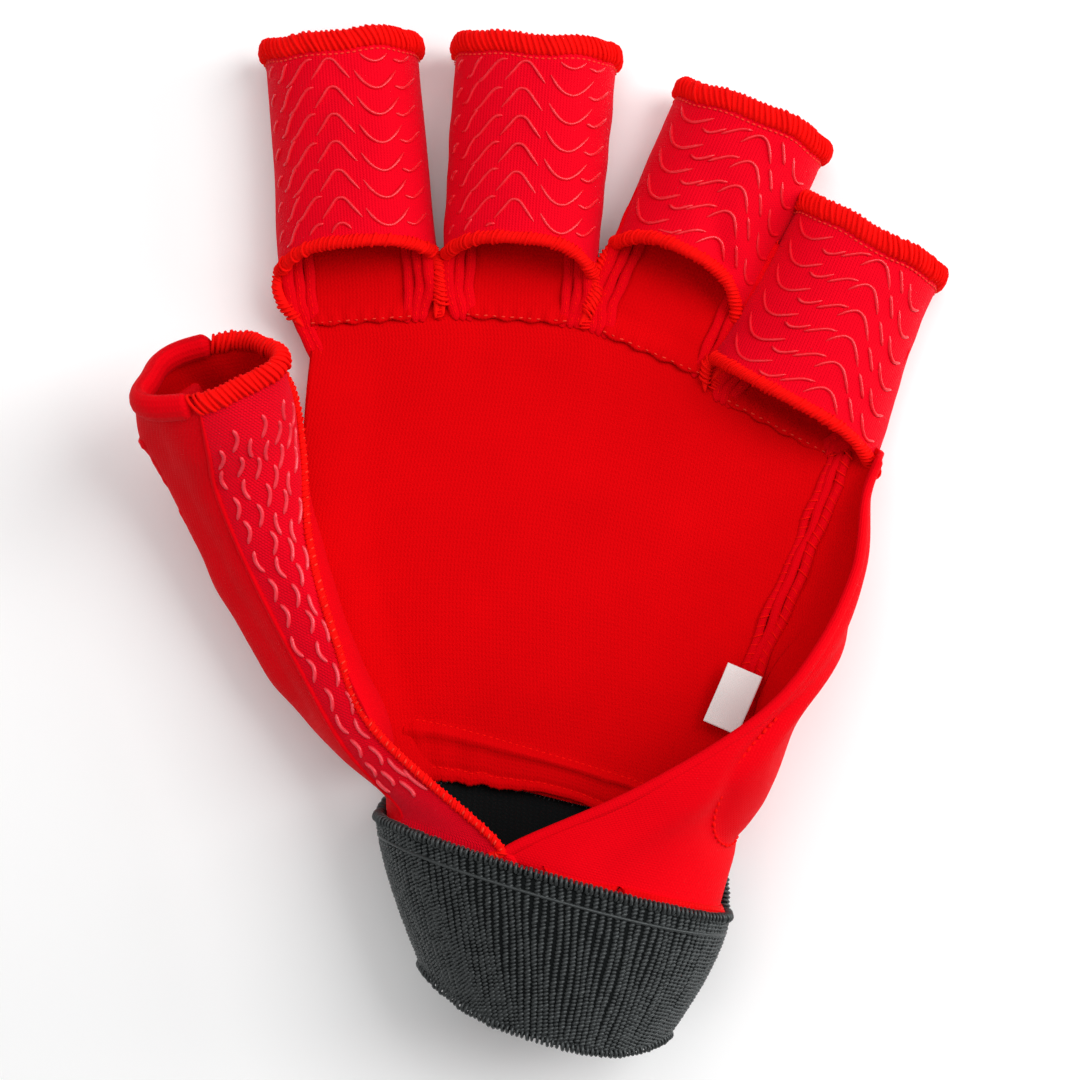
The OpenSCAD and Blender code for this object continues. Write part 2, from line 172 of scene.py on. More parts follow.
def on_grid(grid, a, b):
    """Places and normals on a grid at shares a along its rows and b across them."""
    n, m = grid.shape[:2]
    y = np.clip(np.asarray(a, float), 0, 1) * (n - 1)
    x = np.clip(np.asarray(b, float), 0, 1) * (m - 1)
    i = np.clip(np.floor(y).astype(int), 0, n - 2)
    j = np.clip(np.floor(x).astype(int), 0, m - 2)
    s, t = (y - i)[..., None], (x - j)[..., None]
    nrm = grid_normals(grid)

    def mix(g):
        return (
            g[i, j] * (1 - s) * (1 - t)
            + g[i, j + 1] * (1 - s) * t
            + g[i + 1, j] * s * (1 - t)
            + g[i + 1, j + 1] * s * t
        )

    return mix(grid), unit(mix(nrm))


# ---- Meshes ----


def add_object(name, mesh):
    obj = bpy.data.objects.new(name, mesh)
    bpy.context.scene.collection.objects.link(obj)
    return obj


def make_mesh(name, points, faces, materials, uv=None, kinds=None):
    """A smooth mesh from points in millimetres and faces, with its cloth map in metres."""
    mesh = bpy.data.meshes.new(name)
    faces = np.asarray(faces, np.int32)
    points = np.asarray(points, float) * MM
    mesh.vertices.add(len(points))
    mesh.vertices.foreach_set("co", points.astype(np.float32).ravel())
    mesh.loops.add(faces.size)
    mesh.loops.foreach_set("vertex_index", faces.ravel())
    mesh.polygons.add(len(faces))
    mesh.polygons.foreach_set("loop_start", np.arange(len(faces), dtype=np.int32) * 4)
    for material in materials:
        mesh.materials.append(material)
    if kinds is not None:
        mesh.polygons.foreach_set("material_index", np.asarray(kinds, np.int32))
    mesh.polygons.foreach_set("use_smooth", np.ones(len(faces), bool))
    mesh.update(calc_edges=True)
    if uv is not None:
        layer = mesh.uv_layers.new(name="cloth")
        layer.data.foreach_set(
            "uv", (np.asarray(uv, float)[faces.ravel()] * MM).astype(np.float32).ravel()
        )
    mesh.validate()
    return add_object(name, mesh)


def cloth_map(grid):
    """Each grid point's distance across and along the cloth."""
    step = np.linalg.norm(np.diff(grid, axis=1), axis=2)
    across = np.concatenate([np.zeros((len(grid), 1)), np.cumsum(step, 1)], 1)
    across -= across[:, [grid.shape[1] // 2]]
    step = np.linalg.norm(np.diff(grid, axis=0), axis=2)
    down = np.concatenate([np.zeros((1, grid.shape[1])), np.cumsum(step, 0)], 0)
    return np.stack([across, np.repeat(down.mean(1)[:, None], grid.shape[1], 1)], -1)


# Radius by which a roll's turn is laid out as cloth
ROLL_MAP_RADIUS = 1.5


def cloth_sheet(name, grid, thickness, materials):
    """A closed sheet whose outer face is the grid, with the wall behind it."""
    n, m = grid.shape[:2]
    nrm = grid_normals(grid)
    if np.ndim(thickness):
        thickness = np.asarray(thickness)[..., None]
    points = np.concatenate([grid.reshape(-1, 3), (grid - nrm * thickness).reshape(-1, 3)])
    ids = np.arange(n * m).reshape(n, m)
    back = ids + n * m
    outer = np.stack([ids[:-1, :-1], ids[:-1, 1:], ids[1:, 1:], ids[1:, :-1]], -1)
    inner = np.stack([back[:-1, :-1], back[1:, :-1], back[1:, 1:], back[:-1, 1:]], -1)
    ring = np.concatenate([ids[0, :-1], ids[:-1, -1], ids[-1, :0:-1], ids[:0:-1, 0]])
    after = np.roll(ring, -1)
    wall = np.stack([ring, ring + n * m, after + n * m, after], -1)
    faces = np.concatenate([outer.reshape(-1, 4), inner.reshape(-1, 4), wall])
    count = (n - 1) * (m - 1)
    kinds = np.zeros(len(faces), int)
    kinds[count : 2 * count] = len(materials) - 1
    uv = cloth_map(grid).reshape(-1, 2)
    return make_mesh(name, points, faces, materials, np.concatenate([uv, uv]), kinds)


def roll(name, path, out, materials, wide, high, sides=16, closed=False, taper=0.0):
    """A soft roll of cloth along a path: wide across it and high along the out directions."""
    path, out = np.asarray(path, float), unit(out)
    along = (
        np.roll(path, -1, 0) - np.roll(path, 1, 0)
        if closed
        else np.gradient(path, axis=0)
    )
    along = unit(along)
    out = unit(out - (out * along).sum(1)[:, None] * along)
    side = np.cross(along, out)
    n = len(path)
    size = np.ones(n)
    if taper and not closed:
        t = np.linspace(0, 1, n)
        size = np.sqrt(np.clip(np.minimum(t, 1 - t) / taper, 0.02, 1))
    turn = np.linspace(0, FULL_TURN, sides, endpoint=False)
    wide = np.broadcast_to(np.asarray(wide, float), (n,)) * size
    high = np.broadcast_to(np.asarray(high, float), (n,)) * size
    ring = (
        path[:, None]
        + side[:, None] * (np.cos(turn)[None, :, None] * wide[:, None, None])
        + out[:, None] * (np.sin(turn)[None, :, None] * high[:, None, None])
    )
    ids = np.arange(n * sides).reshape(n, sides)
    here = ids if closed else ids[:-1]
    there = np.roll(ids, -1, 0) if closed else ids[1:]
    faces = np.stack(
        [here, np.roll(here, -1, 1), np.roll(there, -1, 1), there], -1
    ).reshape(-1, 4)[:, ::-1]
    points = ring.reshape(-1, 3)
    if not closed:
        half = sides // 2
        for end, flip in ((ids[0], False), (ids[-1], True)):
            cap = np.array([
                [end[k], end[k + 1], end[sides - 2 - k], end[sides - 1 - k]]
                for k in range(half - 1)
            ])
            faces = np.concatenate([faces, cap[:, ::-1] if flip else cap])
    uv = np.stack([np.tile(turn * ROLL_MAP_RADIUS, n), np.repeat(run_along(path), sides)], 1)
    obj = make_mesh(name, points, faces, materials, uv)
    tidy_normals(obj)
    return obj


def tidy_normals(obj):
    bm = bmesh.new()
    bm.from_mesh(obj.data)
    bmesh.ops.recalc_face_normals(bm, faces=bm.faces)
    bm.to_mesh(obj.data)
    bm.free()


def joined(name, objects):
    """One plain object from several, which are removed."""
    bpy.ops.object.select_all(action="DESELECT")
    for obj in objects:
        obj.select_set(True)
    bpy.context.view_layer.objects.active = objects[0]
    bpy.ops.object.join()
    made = bpy.context.view_layer.objects.active
    made.name = made.data.name = name
    return made


def settle(obj, body=None, bend=None, nodes=()):
    """Gives a finished piece its body or bend, and the nodes it stands for."""
    if bend:
        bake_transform(obj, *bend)
    else:
        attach(obj, body)
    if nodes:
        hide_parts(*nodes)
    return obj


# ---- Node trees that repeat or sweep thread along guides ----


class Tree:
    """A small helper to lay out a node tree."""

    def __init__(self, group):
        self.group = group

    def node(self, kind, values=None, **settings):
        made = self.group.nodes.new(kind)
        for key, value in settings.items():
            setattr(made, key, value)
        for key, value in (values or {}).items():
            self.feed(made, key, value)
        return made

    def feed(self, node, key, value):
        socket = node.inputs[key]
        if isinstance(value, bpy.types.Node):
            value = value.outputs[0]
        if isinstance(value, bpy.types.NodeSocket):
            self.group.links.new(value, socket)
        else:
            socket.default_value = value


def new_group(name, inputs):
    group = bpy.data.node_groups.new(name, "GeometryNodeTree")
    face = group.interface
    face.new_socket("Guides", in_out="INPUT", socket_type="NodeSocketGeometry")
    for label, kind, value in inputs:
        socket = face.new_socket(label, in_out="INPUT", socket_type=kind)
        if value is not None:
            socket.default_value = value
    face.new_socket("Geometry", in_out="OUTPUT", socket_type="NodeSocketGeometry")
    tree = Tree(group)
    entry = tree.node("NodeGroupInput")
    return group, tree, entry


def end_group(tree, entry, geometry):
    real = tree.node("GeometryNodeRealizeInstances", {"Geometry": geometry})
    soft = tree.node("GeometryNodeSetShadeSmooth", {"Geometry": real})
    coated = tree.node(
        "GeometryNodeSetMaterial", {"Geometry": soft, "Material": entry.outputs["Material"]}
    )
    out = tree.node("NodeGroupOutput")
    tree.group.links.new(coated.outputs[0], out.inputs[0])


FLOAT, INT = "NodeSocketFloat", "NodeSocketInt"
MATERIAL = ("Material", "NodeSocketMaterial", None)


def scatter_on_guides(tree, entry, shape, first_axis, second_axis):
    """Instances of a shape at even steps along the guides, turned to the path and its out side."""
    curve = tree.node("GeometryNodeMeshToCurve", {"Mesh": entry.outputs["Guides"]})
    steps = tree.node(
        "GeometryNodeResampleCurve",
        {"Curve": curve, "Length": entry.outputs["Pitch"]},
        mode="LENGTH",
    )
    tangent = tree.node("GeometryNodeInputTangent")
    out = tree.node("GeometryNodeInputNamedAttribute", {"Name": "out"}, data_type="FLOAT_VECTOR")
    turned = tree.node("FunctionNodeAlignRotationToVector", {"Vector": tangent}, axis=first_axis)
    turned = tree.node(
        "FunctionNodeAlignRotationToVector",
        {"Rotation": turned, "Vector": out},
        axis=second_axis,
        pivot_axis=first_axis,
    )
    wobble = tree.node("FunctionNodeRandomValue", data_type="FLOAT")
    low = tree.node("ShaderNodeMath", operation="MULTIPLY")
    tree.feed(low, 0, entry.outputs["Jitter"])
    tree.feed(low, 1, -1.0)
    tree.group.links.new(low.outputs[0], wobble.inputs[2])
    tree.group.links.new(entry.outputs["Jitter"], wobble.inputs[3])
    tree.group.links.new(entry.outputs["Seed"], wobble.inputs[8])
    angle = tree.node("ShaderNodeMath", operation="ADD")
    tree.feed(angle, 0, entry.outputs["Tilt"])
    tree.group.links.new(wobble.outputs[1], angle.inputs[1])
    spin = tree.node("FunctionNodeAxisAngleToRotation", {"Angle": angle})
    spin.inputs["Axis"].default_value = (0, 1, 0) if second_axis == "Y" else (0, 0, 1)
    turned = tree.node(
        "FunctionNodeRotateRotation",
        {"Rotation": turned, "Rotate By": spin},
        rotation_space="LOCAL",
    )
    size = tree.node("FunctionNodeRandomValue", data_type="FLOAT")
    less = tree.node("ShaderNodeMath", operation="SUBTRACT")
    tree.feed(less, 0, 1.0)
    tree.feed(less, 1, entry.outputs["Jitter"])
    more = tree.node("ShaderNodeMath", operation="ADD")
    tree.feed(more, 0, 1.0)
    tree.feed(more, 1, entry.outputs["Jitter"])
    tree.group.links.new(less.outputs[0], size.inputs[2])
    tree.group.links.new(more.outputs[0], size.inputs[3])
    tree.group.links.new(entry.outputs["Seed"], size.inputs[8])
    placed = tree.node(
        "GeometryNodeInstanceOnPoints",
        {"Points": steps, "Instance": shape, "Rotation": turned},
    )
    tree.group.links.new(size.outputs[1], placed.inputs["Scale"])
    return placed


def stitch_group():
    """Short stitches laid along the guides."""
    group, tree, entry = new_group(
        "stitch_row",
        [
            ("Pitch", FLOAT, 0.0011),
            ("Length", FLOAT, 0.0008),
            ("Width", FLOAT, 0.0003),
            ("Height", FLOAT, 0.0002),
            ("Tilt", FLOAT, 0.0),
            ("Jitter", FLOAT, 0.06),
            ("Seed", INT, 1),
            ("Sides", INT, 8),
            MATERIAL,
        ],
    )
    rings = tree.node("ShaderNodeMath", operation="SUBTRACT")
    tree.feed(rings, 0, entry.outputs["Sides"])
    tree.feed(rings, 1, 3.0)
    bead = tree.node("GeometryNodeMeshUVSphere", {"Radius": 0.5})
    tree.feed(bead, "Segments", entry.outputs["Sides"])
    tree.feed(bead, "Rings", rings)
    sizes = tree.node("ShaderNodeCombineXYZ")
    for k, label in enumerate(("Length", "Width", "Height")):
        tree.feed(sizes, k, entry.outputs[label])
    bead = tree.node("GeometryNodeTransform", {"Geometry": bead, "Scale": sizes})
    end_group(tree, entry, scatter_on_guides(tree, entry, bead, "X", "Z"))
    return group


def wrap_group():
    """Loops of thread wound round the guides, as an overlock machine lays them."""
    group, tree, entry = new_group(
        "overlock_wrap",
        [
            ("Pitch", FLOAT, 0.001),
            ("Half width", FLOAT, 0.002),
            ("Half height", FLOAT, 0.001),
            ("Thread", FLOAT, 0.0003),
            ("Tilt", FLOAT, 0.25),
            ("Jitter", FLOAT, 0.06),
            ("Seed", INT, 1),
            MATERIAL,
        ],
    )
    ring = tree.node("GeometryNodeCurvePrimitiveCircle", {"Resolution": 12, "Radius": 1.0})
    sizes = tree.node("ShaderNodeCombineXYZ")
    tree.feed(sizes, 0, entry.outputs["Half width"])
    tree.feed(sizes, 1, entry.outputs["Half height"])
    tree.feed(sizes, 2, 1.0)
    ring = tree.node("GeometryNodeTransform", {"Geometry": ring, "Scale": sizes})
    thread = tree.node("GeometryNodeCurvePrimitiveCircle", {"Resolution": 5})
    tree.feed(thread, "Radius", entry.outputs["Thread"])
    loop = tree.node("GeometryNodeCurveToMesh", {"Curve": ring, "Profile Curve": thread})
    end_group(tree, entry, scatter_on_guides(tree, entry, loop, "Z", "Y"))
    return group


def line_group():
    """A raised line of rubber or thread swept along the guides, thinner towards its ends."""
    group, tree, entry = new_group(
        "raised_line",
        [("Radius", FLOAT, 0.0003), ("Sides", INT, 8), MATERIAL],
    )
    curve = tree.node("GeometryNodeMeshToCurve", {"Mesh": entry.outputs["Guides"]})
    size = tree.node("GeometryNodeInputNamedAttribute", {"Name": "size"}, data_type="FLOAT")
    curve = tree.node("GeometryNodeSetCurveRadius", {"Curve": curve, "Radius": size})
    profile = tree.node("GeometryNodeCurvePrimitiveCircle")
    tree.feed(profile, "Resolution", entry.outputs["Sides"])
    tree.feed(profile, "Radius", entry.outputs["Radius"])
    swept = tree.node(
        "GeometryNodeCurveToMesh", {"Curve": curve, "Profile Curve": profile, "Fill Caps": True}
    )
    tree.feed(swept, "Scale", size)
    end_group(tree, entry, swept)
    return group


GROUP_MAKERS = {
    "stitch_row": stitch_group,
    "overlock_wrap": wrap_group,
    "raised_line": line_group,
}


def from_guides(name, kind, lines, values, material):
    """Runs a node tree over guide lines, each (points, out directions), and keeps the plain mesh."""
    group = bpy.data.node_groups.get(kind) or GROUP_MAKERS[kind]()
    points = np.concatenate([p for p, _ in lines]) * MM
    outs = np.concatenate([np.broadcast_to(o, p.shape) for p, o in lines])
    sizes = np.concatenate(
        [
            np.sqrt(np.clip(np.minimum(t, 1 - t) / 0.12, 0.12, 1))
            for t in (np.linspace(0, 1, len(p)) for p, _ in lines)
        ]
    )
    edges, start = [], 0
    for p, _ in lines:
        edges += [(start + k, start + k + 1) for k in range(len(p) - 1)]
        start += len(p)
    mesh = bpy.data.meshes.new(name + "_guide")
    mesh.from_pydata([tuple(p) for p in points], edges, [])
    mesh.attributes.new("out", "FLOAT_VECTOR", "POINT").data.foreach_set(
        "vector", unit(outs).astype(np.float32).ravel()
    )
    mesh.attributes.new("size", "FLOAT", "POINT").data.foreach_set(
        "value", sizes.astype(np.float32)
    )
    guide = add_object(name + "_guide", mesh)
    modifier = guide.modifiers.new("sew", "NODES")
    modifier.node_group = group
    keys = {
        s.name: s.identifier
        for s in group.interface.items_tree
        if s.item_type == "SOCKET" and s.in_out == "INPUT"
    }
    for label, value in {**values, "Material": material}.items():
        modifier[keys[label]] = value
    guide.update_tag()
    graph = bpy.context.evaluated_depsgraph_get()
    graph.update()
    made = bpy.data.meshes.new_from_object(guide.evaluated_get(graph))
    made.name = name
    for spare in [a.name for a in made.attributes if a.name in ("out", "size")]:
        made.attributes.remove(made.attributes[spare])
    bpy.data.objects.remove(guide)
    if not made.materials:
        made.materials.append(material)
    made.materials[0] = material
    if len(made.polygons) == 0:
        raise RuntimeError(f"{name}: the guides gave no faces")
    return add_object(name, made)


def stitches(
    name, lines, material, pitch=1.1, length=0.8, width=0.32, height=0.24,
    tilt=0.0, seed=1, jitter=0.08, sides=8,
):
    """Rows of short stitches on the guide lines, sizes in millimetres."""
    return from_guides(
        name,
        "stitch_row",
        lines,
        {
            "Pitch": pitch * MM,
            "Length": length * MM,
            "Width": width * MM,
            "Height": height * MM,
            "Tilt": tilt,
            "Jitter": jitter,
            "Seed": seed,
            "Sides": sides,
        },
        material,
    )


def wraps(name, lines, material, pitch=1.0, wide=2.1, high=1.2, thread=0.3, tilt=0.25, seed=1, jitter=0.13):
    """Overlock loops round the guide lines, sizes in millimetres."""
    return from_guides(
        name,
        "overlock_wrap",
        lines,
        {
            "Pitch": pitch * MM,
            "Half width": wide * MM,
            "Half height": high * MM,
            "Thread": thread * MM,
            "Tilt": tilt,
            "Jitter": jitter,
            "Seed": seed,
        },
        material,
    )


def raised_lines(name, lines, radius, material):
    """Raised lines of one radius in metres on the guide lines."""
    return from_guides(name, "raised_line", lines, {"Radius": radius, "Sides": 8}, material)


# ---- Materials ----

# How far the knit's fibres stand out of the cloth, in metres
FIBRE_RELIEF = 0.00012


def shader(name):
    """A new node material and a helper to lay out its nodes."""
    material = bpy.data.materials.new(name)
    material.use_nodes = True
    tree = Tree(material.node_tree)
    base = next(n for n in material.node_tree.nodes if n.type == "BSDF_PRINCIPLED")
    return material, tree, base


def math_node(tree, operation, a, b=0.0, clamp=False):
    node = tree.node("ShaderNodeMath", operation=operation, use_clamp=clamp)
    tree.feed(node, 0, a)
    tree.feed(node, 1, b)
    return node


def noise_node(tree, place, scale, detail=3.0):
    node = tree.node("ShaderNodeTexNoise", {"Scale": scale, "Detail": detail, "Roughness": 0.55})
    tree.feed(node, "Vector", place)
    return node


def weighed(tree, a, share_a, b, share_b, clamp=False):
    """The sum of two values, each times its share."""
    first = math_node(tree, "MULTIPLY", a, share_a)
    return math_node(tree, "ADD", first, math_node(tree, "MULTIPLY", b, share_b), clamp=clamp)


def wave_node(tree, run, wave):
    """A sine along a run in metres, with its wave length in millimetres."""
    return math_node(tree, "SINE", math_node(tree, "MULTIPLY", run, FULL_TURN / MM / wave))


def surface(tree, base, paint, height, strength, distance, grain, rough):
    """Links the colour and the bump, and lets a grain vary the roughness between two limits."""
    tree.group.links.new(paint, base.inputs["Base Color"])
    bump = tree.node("ShaderNodeBump", {"Strength": strength, "Distance": distance})
    tree.feed(bump, "Height", height)
    tree.group.links.new(bump.outputs[0], base.inputs["Normal"])
    coarse = tree.node("ShaderNodeMapRange", {"To Min": rough[0], "To Max": rough[1]})
    tree.feed(coarse, "Value", grain)
    tree.group.links.new(coarse.outputs[0], base.inputs["Roughness"])


def gloss_and_nap(base, sheen, spread, tint, gloss):
    """Sets the sheen of a nap and the gloss below it, both tinted by the dye."""
    base.inputs["Sheen Weight"].default_value = sheen
    base.inputs["Sheen Roughness"].default_value = spread
    base.inputs["Sheen Tint"].default_value = (*tint, 1)
    base.inputs["Specular Tint"].default_value = (*tint, 1)
    base.inputs["Specular IOR Level"].default_value = gloss


def colour_mix(tree, share, a, b):
    node = tree.node("ShaderNodeMix", data_type="RGBA")
    tree.feed(node, 0, share)
    for index, value in ((6, a), (7, b)):
        if isinstance(value, (bpy.types.Node, bpy.types.NodeSocket)):
            tree.feed(node, index, value)
        else:
            node.inputs[index].default_value = (*value[:3], 1)
    return node.outputs[2]


def knit_material(
    name, colour, deep, rib=0.7, row=0.55, rib_bump=0.5,
    sheen=0.35, tint=(1, 0.2, 0.25), rough=0.72, slant=0.0,
):
    """Stretch knit: fine ribs and rows that follow the cloth map, a soft nap, uneven dye and painted shade
    in the rib valleys.
    """
    material, tree, base = shader(name)
    cloth = tree.node("ShaderNodeUVMap", uv_map="cloth")
    parts = tree.node("ShaderNodeSeparateXYZ", {"Vector": cloth})
    across, along = parts.outputs[0], parts.outputs[1]
    place = tree.node("ShaderNodeTexCoord").outputs["Object"]
    if slant:
        across = math_node(tree, "ADD", across, math_node(tree, "MULTIPLY", along, slant))
    rows = wave_node(tree, along, row)
    lean = math_node(tree, "MULTIPLY", rows, 0.9)
    turns = math_node(tree, "MULTIPLY", across, FULL_TURN / MM / rib)
    ribs = math_node(tree, "SINE", math_node(tree, "ADD", turns, lean))
    fibres = noise_node(tree, place, 2600.0, 2.0)
    patches = noise_node(tree, place, 60.0)
    weave = weighed(tree, ribs, 0.5, rows, 0.22)
    height = math_node(tree, "ADD", weave, fibres)
    # Colour: uneven dye from the patches, and painted shade that deepens the red in the valleys between the
    # ribs
    share = weighed(tree, ribs, 0.10, patches, 0.75, clamp=True)
    surface(
        tree, base, colour_mix(tree, share, deep, colour), height, rib_bump, FIBRE_RELIEF,
        fibres, (rough - 0.06, rough + 0.1),
    )
    gloss_and_nap(base, sheen, 0.45, tint, 0.12)
    return material


def thread_material(
    name, colour, deep, rough=0.78, sheen=0.02, tint=(1, 0.04, 0.03), grain=2200.0, gloss=0.1
):
    """Spun thread: fine fibres and a slight change of dye from loop to loop."""
    material, tree, base = shader(name)
    place = tree.node("ShaderNodeTexCoord").outputs["Object"]
    fibres = noise_node(tree, place, grain)
    loops = noise_node(tree, place, 420.0, 2.0)
    share = weighed(tree, fibres, 0.6, loops, 0.6, clamp=True)
    surface(
        tree, base, colour_mix(tree, share, deep, colour), fibres, 0.6, 0.0001,
        fibres, (rough - 0.1, rough + 0.15),
    )
    gloss_and_nap(base, sheen, 0.5, tint, gloss)
    return material


def pad_material(name, colour, deep):
    """Knit drawn over moulded foam, its ribs on the piece's own coordinates."""
    material, tree, base = shader(name)
    place = tree.node("ShaderNodeTexCoord").outputs["Object"]
    parts = tree.node("ShaderNodeSeparateXYZ", {"Vector": place})
    ribs = wave_node(tree, parts.outputs[0], 0.75)
    rows = wave_node(tree, parts.outputs[1], 0.6)
    fibres = noise_node(tree, place, 2400.0, 2.0)
    patches = noise_node(tree, place, 70.0)
    height = math_node(tree, "ADD", weighed(tree, ribs, 0.4, rows, 0.2), fibres)
    share = math_node(tree, "MULTIPLY", patches, 1.3, clamp=True)
    surface(
        tree, base, colour_mix(tree, share, deep, colour), height, 0.5, FIBRE_RELIEF, fibres, (0.6, 0.85)
    )
    gloss_and_nap(base, 0.15, 0.45, (1, 0.1, 0.14), 0.5)
    return material


def silicone_material(name, colour, deep):
    """Glossy printed rubber with a faint flow in its surface."""
    material, tree, base = shader(name)
    flow = noise_node(tree, tree.node("ShaderNodeTexCoord").outputs["Object"], 900.0, 2.0)
    surface(
        tree, base, colour_mix(tree, flow, deep, colour), flow, 0.25, 0.00005, flow, (0.2, 0.36)
    )
    base.inputs["Specular IOR Level"].default_value = 0.6
    base.inputs["Specular Tint"].default_value = (1, 0.5, 0.54, 1)
    base.inputs["Coat Weight"].default_value = 0.15
    base.inputs["Coat Roughness"].default_value = 0.22
    return material


def floor_material(name, colour):
    """Pale matt paper, very slightly uneven."""
    material, tree, base = shader(name)
    place = tree.node("ShaderNodeTexCoord").outputs["Object"]
    tooth = noise_node(tree, place, 40.0, 4.0)
    paler = tuple(min(1.0, c * 1.02) for c in colour)
    tree.group.links.new(colour_mix(tree, tooth, colour, paler), base.inputs["Base Color"])
    base.inputs["Roughness"].default_value = 0.9
    return material


def colours():
    return bpy.context.scene.glove_colours


def sizes():
    return bpy.context.scene.glove_sizes


def darker(colour, share):
    return tuple(c * share for c in colour[:3])


# Each finish: its maker, its colour's setting, the shares of that colour at its palest and
# its deepest, and what its maker is told
FINISHES = {
    "grip_knit": (
        knit_material, "grip", 1, 0.78,
        dict(rib=0.62, row=0.5, rib_bump=0.6, sheen=0.12, tint=(1, 0.1, 0.22)),
    ),
    "grip_knit_slanted": (
        knit_material, "grip", 1, 0.78,
        dict(rib=0.62, row=0.6, rib_bump=0.8, sheen=0.2, tint=(1, 0.16, 0.28), slant=0.8),
    ),
    "lining_knit": (
        knit_material, "lining", 1, 0.8,
        dict(rib=0.72, row=0.9, rib_bump=0.4, sheen=0.08, tint=(1, 0.05, 0.04)),
    ),
    "shell_knit": (
        knit_material, "shell", 1, 0.8,
        dict(rib=0.7, row=0.6, rib_bump=0.5, sheen=0.06, tint=(1, 0.06, 0.1)),
    ),
    "pad_skin": (pad_material, "shell", 1, 0.75, {}),
    "overlock_thread": (thread_material, "thread", 1, 0.78, {}),
    "pale_thread": (
        thread_material, "stitch", 1, 0.7, dict(rough=0.6, sheen=0.1, tint=(1, 0.3, 0.25), gloss=0.2),
    ),
    "silicone": (silicone_material, "silicone", 1, 0.8, {}),
    # The thumb's dashes: red print, made paler pink in its colour as a painted highlight on the glossy
    # rubber
    "pale_silicone": (silicone_material, "dashes", 1, 0.75, {}),
    "elastic_yarn": (
        thread_material, "elastic", 1, 0.3,
        dict(rough=0.46, sheen=0.12, tint=(0.85, 0.92, 0.92), grain=2600.0, gloss=0.75),
    ),
    # The cuff's ground is the elastic's own black at lower shares: painted shade in the gaps between the
    # knit bumps
    "elastic_ground": (
        knit_material, "elastic", 0.4, 0.2,
        dict(rib=1.25, row=0.75, rib_bump=0.8, sheen=0.2, tint=(0.7, 0.8, 0.8), rough=0.8),
    ),
    "label_satin": (
        knit_material, "label", 1, 0.93,
        dict(rib=0.35, row=0.3, rib_bump=0.25, sheen=0.2, tint=(1, 1, 1), rough=0.55),
    ),
}


def finish_named(name):
    """The material of one finish, made when a piece first asks for it."""
    if name in bpy.data.materials:
        return bpy.data.materials[name]
    make, setting, pale, deep, told = FINISHES[name]
    colour = getattr(colours(), setting)
    return make(name, darker(colour, pale), darker(colour, deep), **told)


# ---- Finger stalls ----

# How each stall is cut, in millimetres: foot and tip are half widths, shift and tip_shift how
# far their middles lie to one side, tip_over how much the section tips towards its neighbour,
# rise its height, drop how far the opening's edge falls at the left and the right, crown how
# far its middle stands ahead of the hem, lean its slant, and feet where its edge meets the palm
STALLS = {
    "index": dict(foot=15.9, tip=15.0, shift=0.3, tip_shift=-0.2, tip_over=0.0, rise=11.9,
                  drop=(4.0, 2.4), crown=1.4, lean=0.0, feet=(-11.4, 14.6)),
    "middle": dict(foot=15.1, tip=15.8, shift=-0.2, tip_shift=0.3, tip_over=0.0, rise=11.9,
                   drop=(3.4, 5.4), crown=1.6, lean=0.0, feet=(-14.4, 12.4)),
    "ring": dict(foot=14.9, tip=15.7, shift=-0.6, tip_shift=0.2, tip_over=0.0, rise=11.6,
                 drop=(4.2, 9.0), crown=2.4, lean=0.06, feet=(-14.0, 13.0)),
    "little": dict(foot=19.1, tip=16.1, shift=1.9, tip_shift=-1.1, tip_over=0.07, rise=12.0,
                   drop=(-1.0, 3.6), crown=-9.2, lean=0.0, feet=(-15.6, 19.4)),
}
# How far the middle of the tip's hem lies behind the tip
HEM_BACK = 2.0
# Half width of the back strip where each stall is sewn to the hand
STRIP_HALF = {"index": 9.5, "middle": 9.5, "ring": 10.0, "little": 10.5}


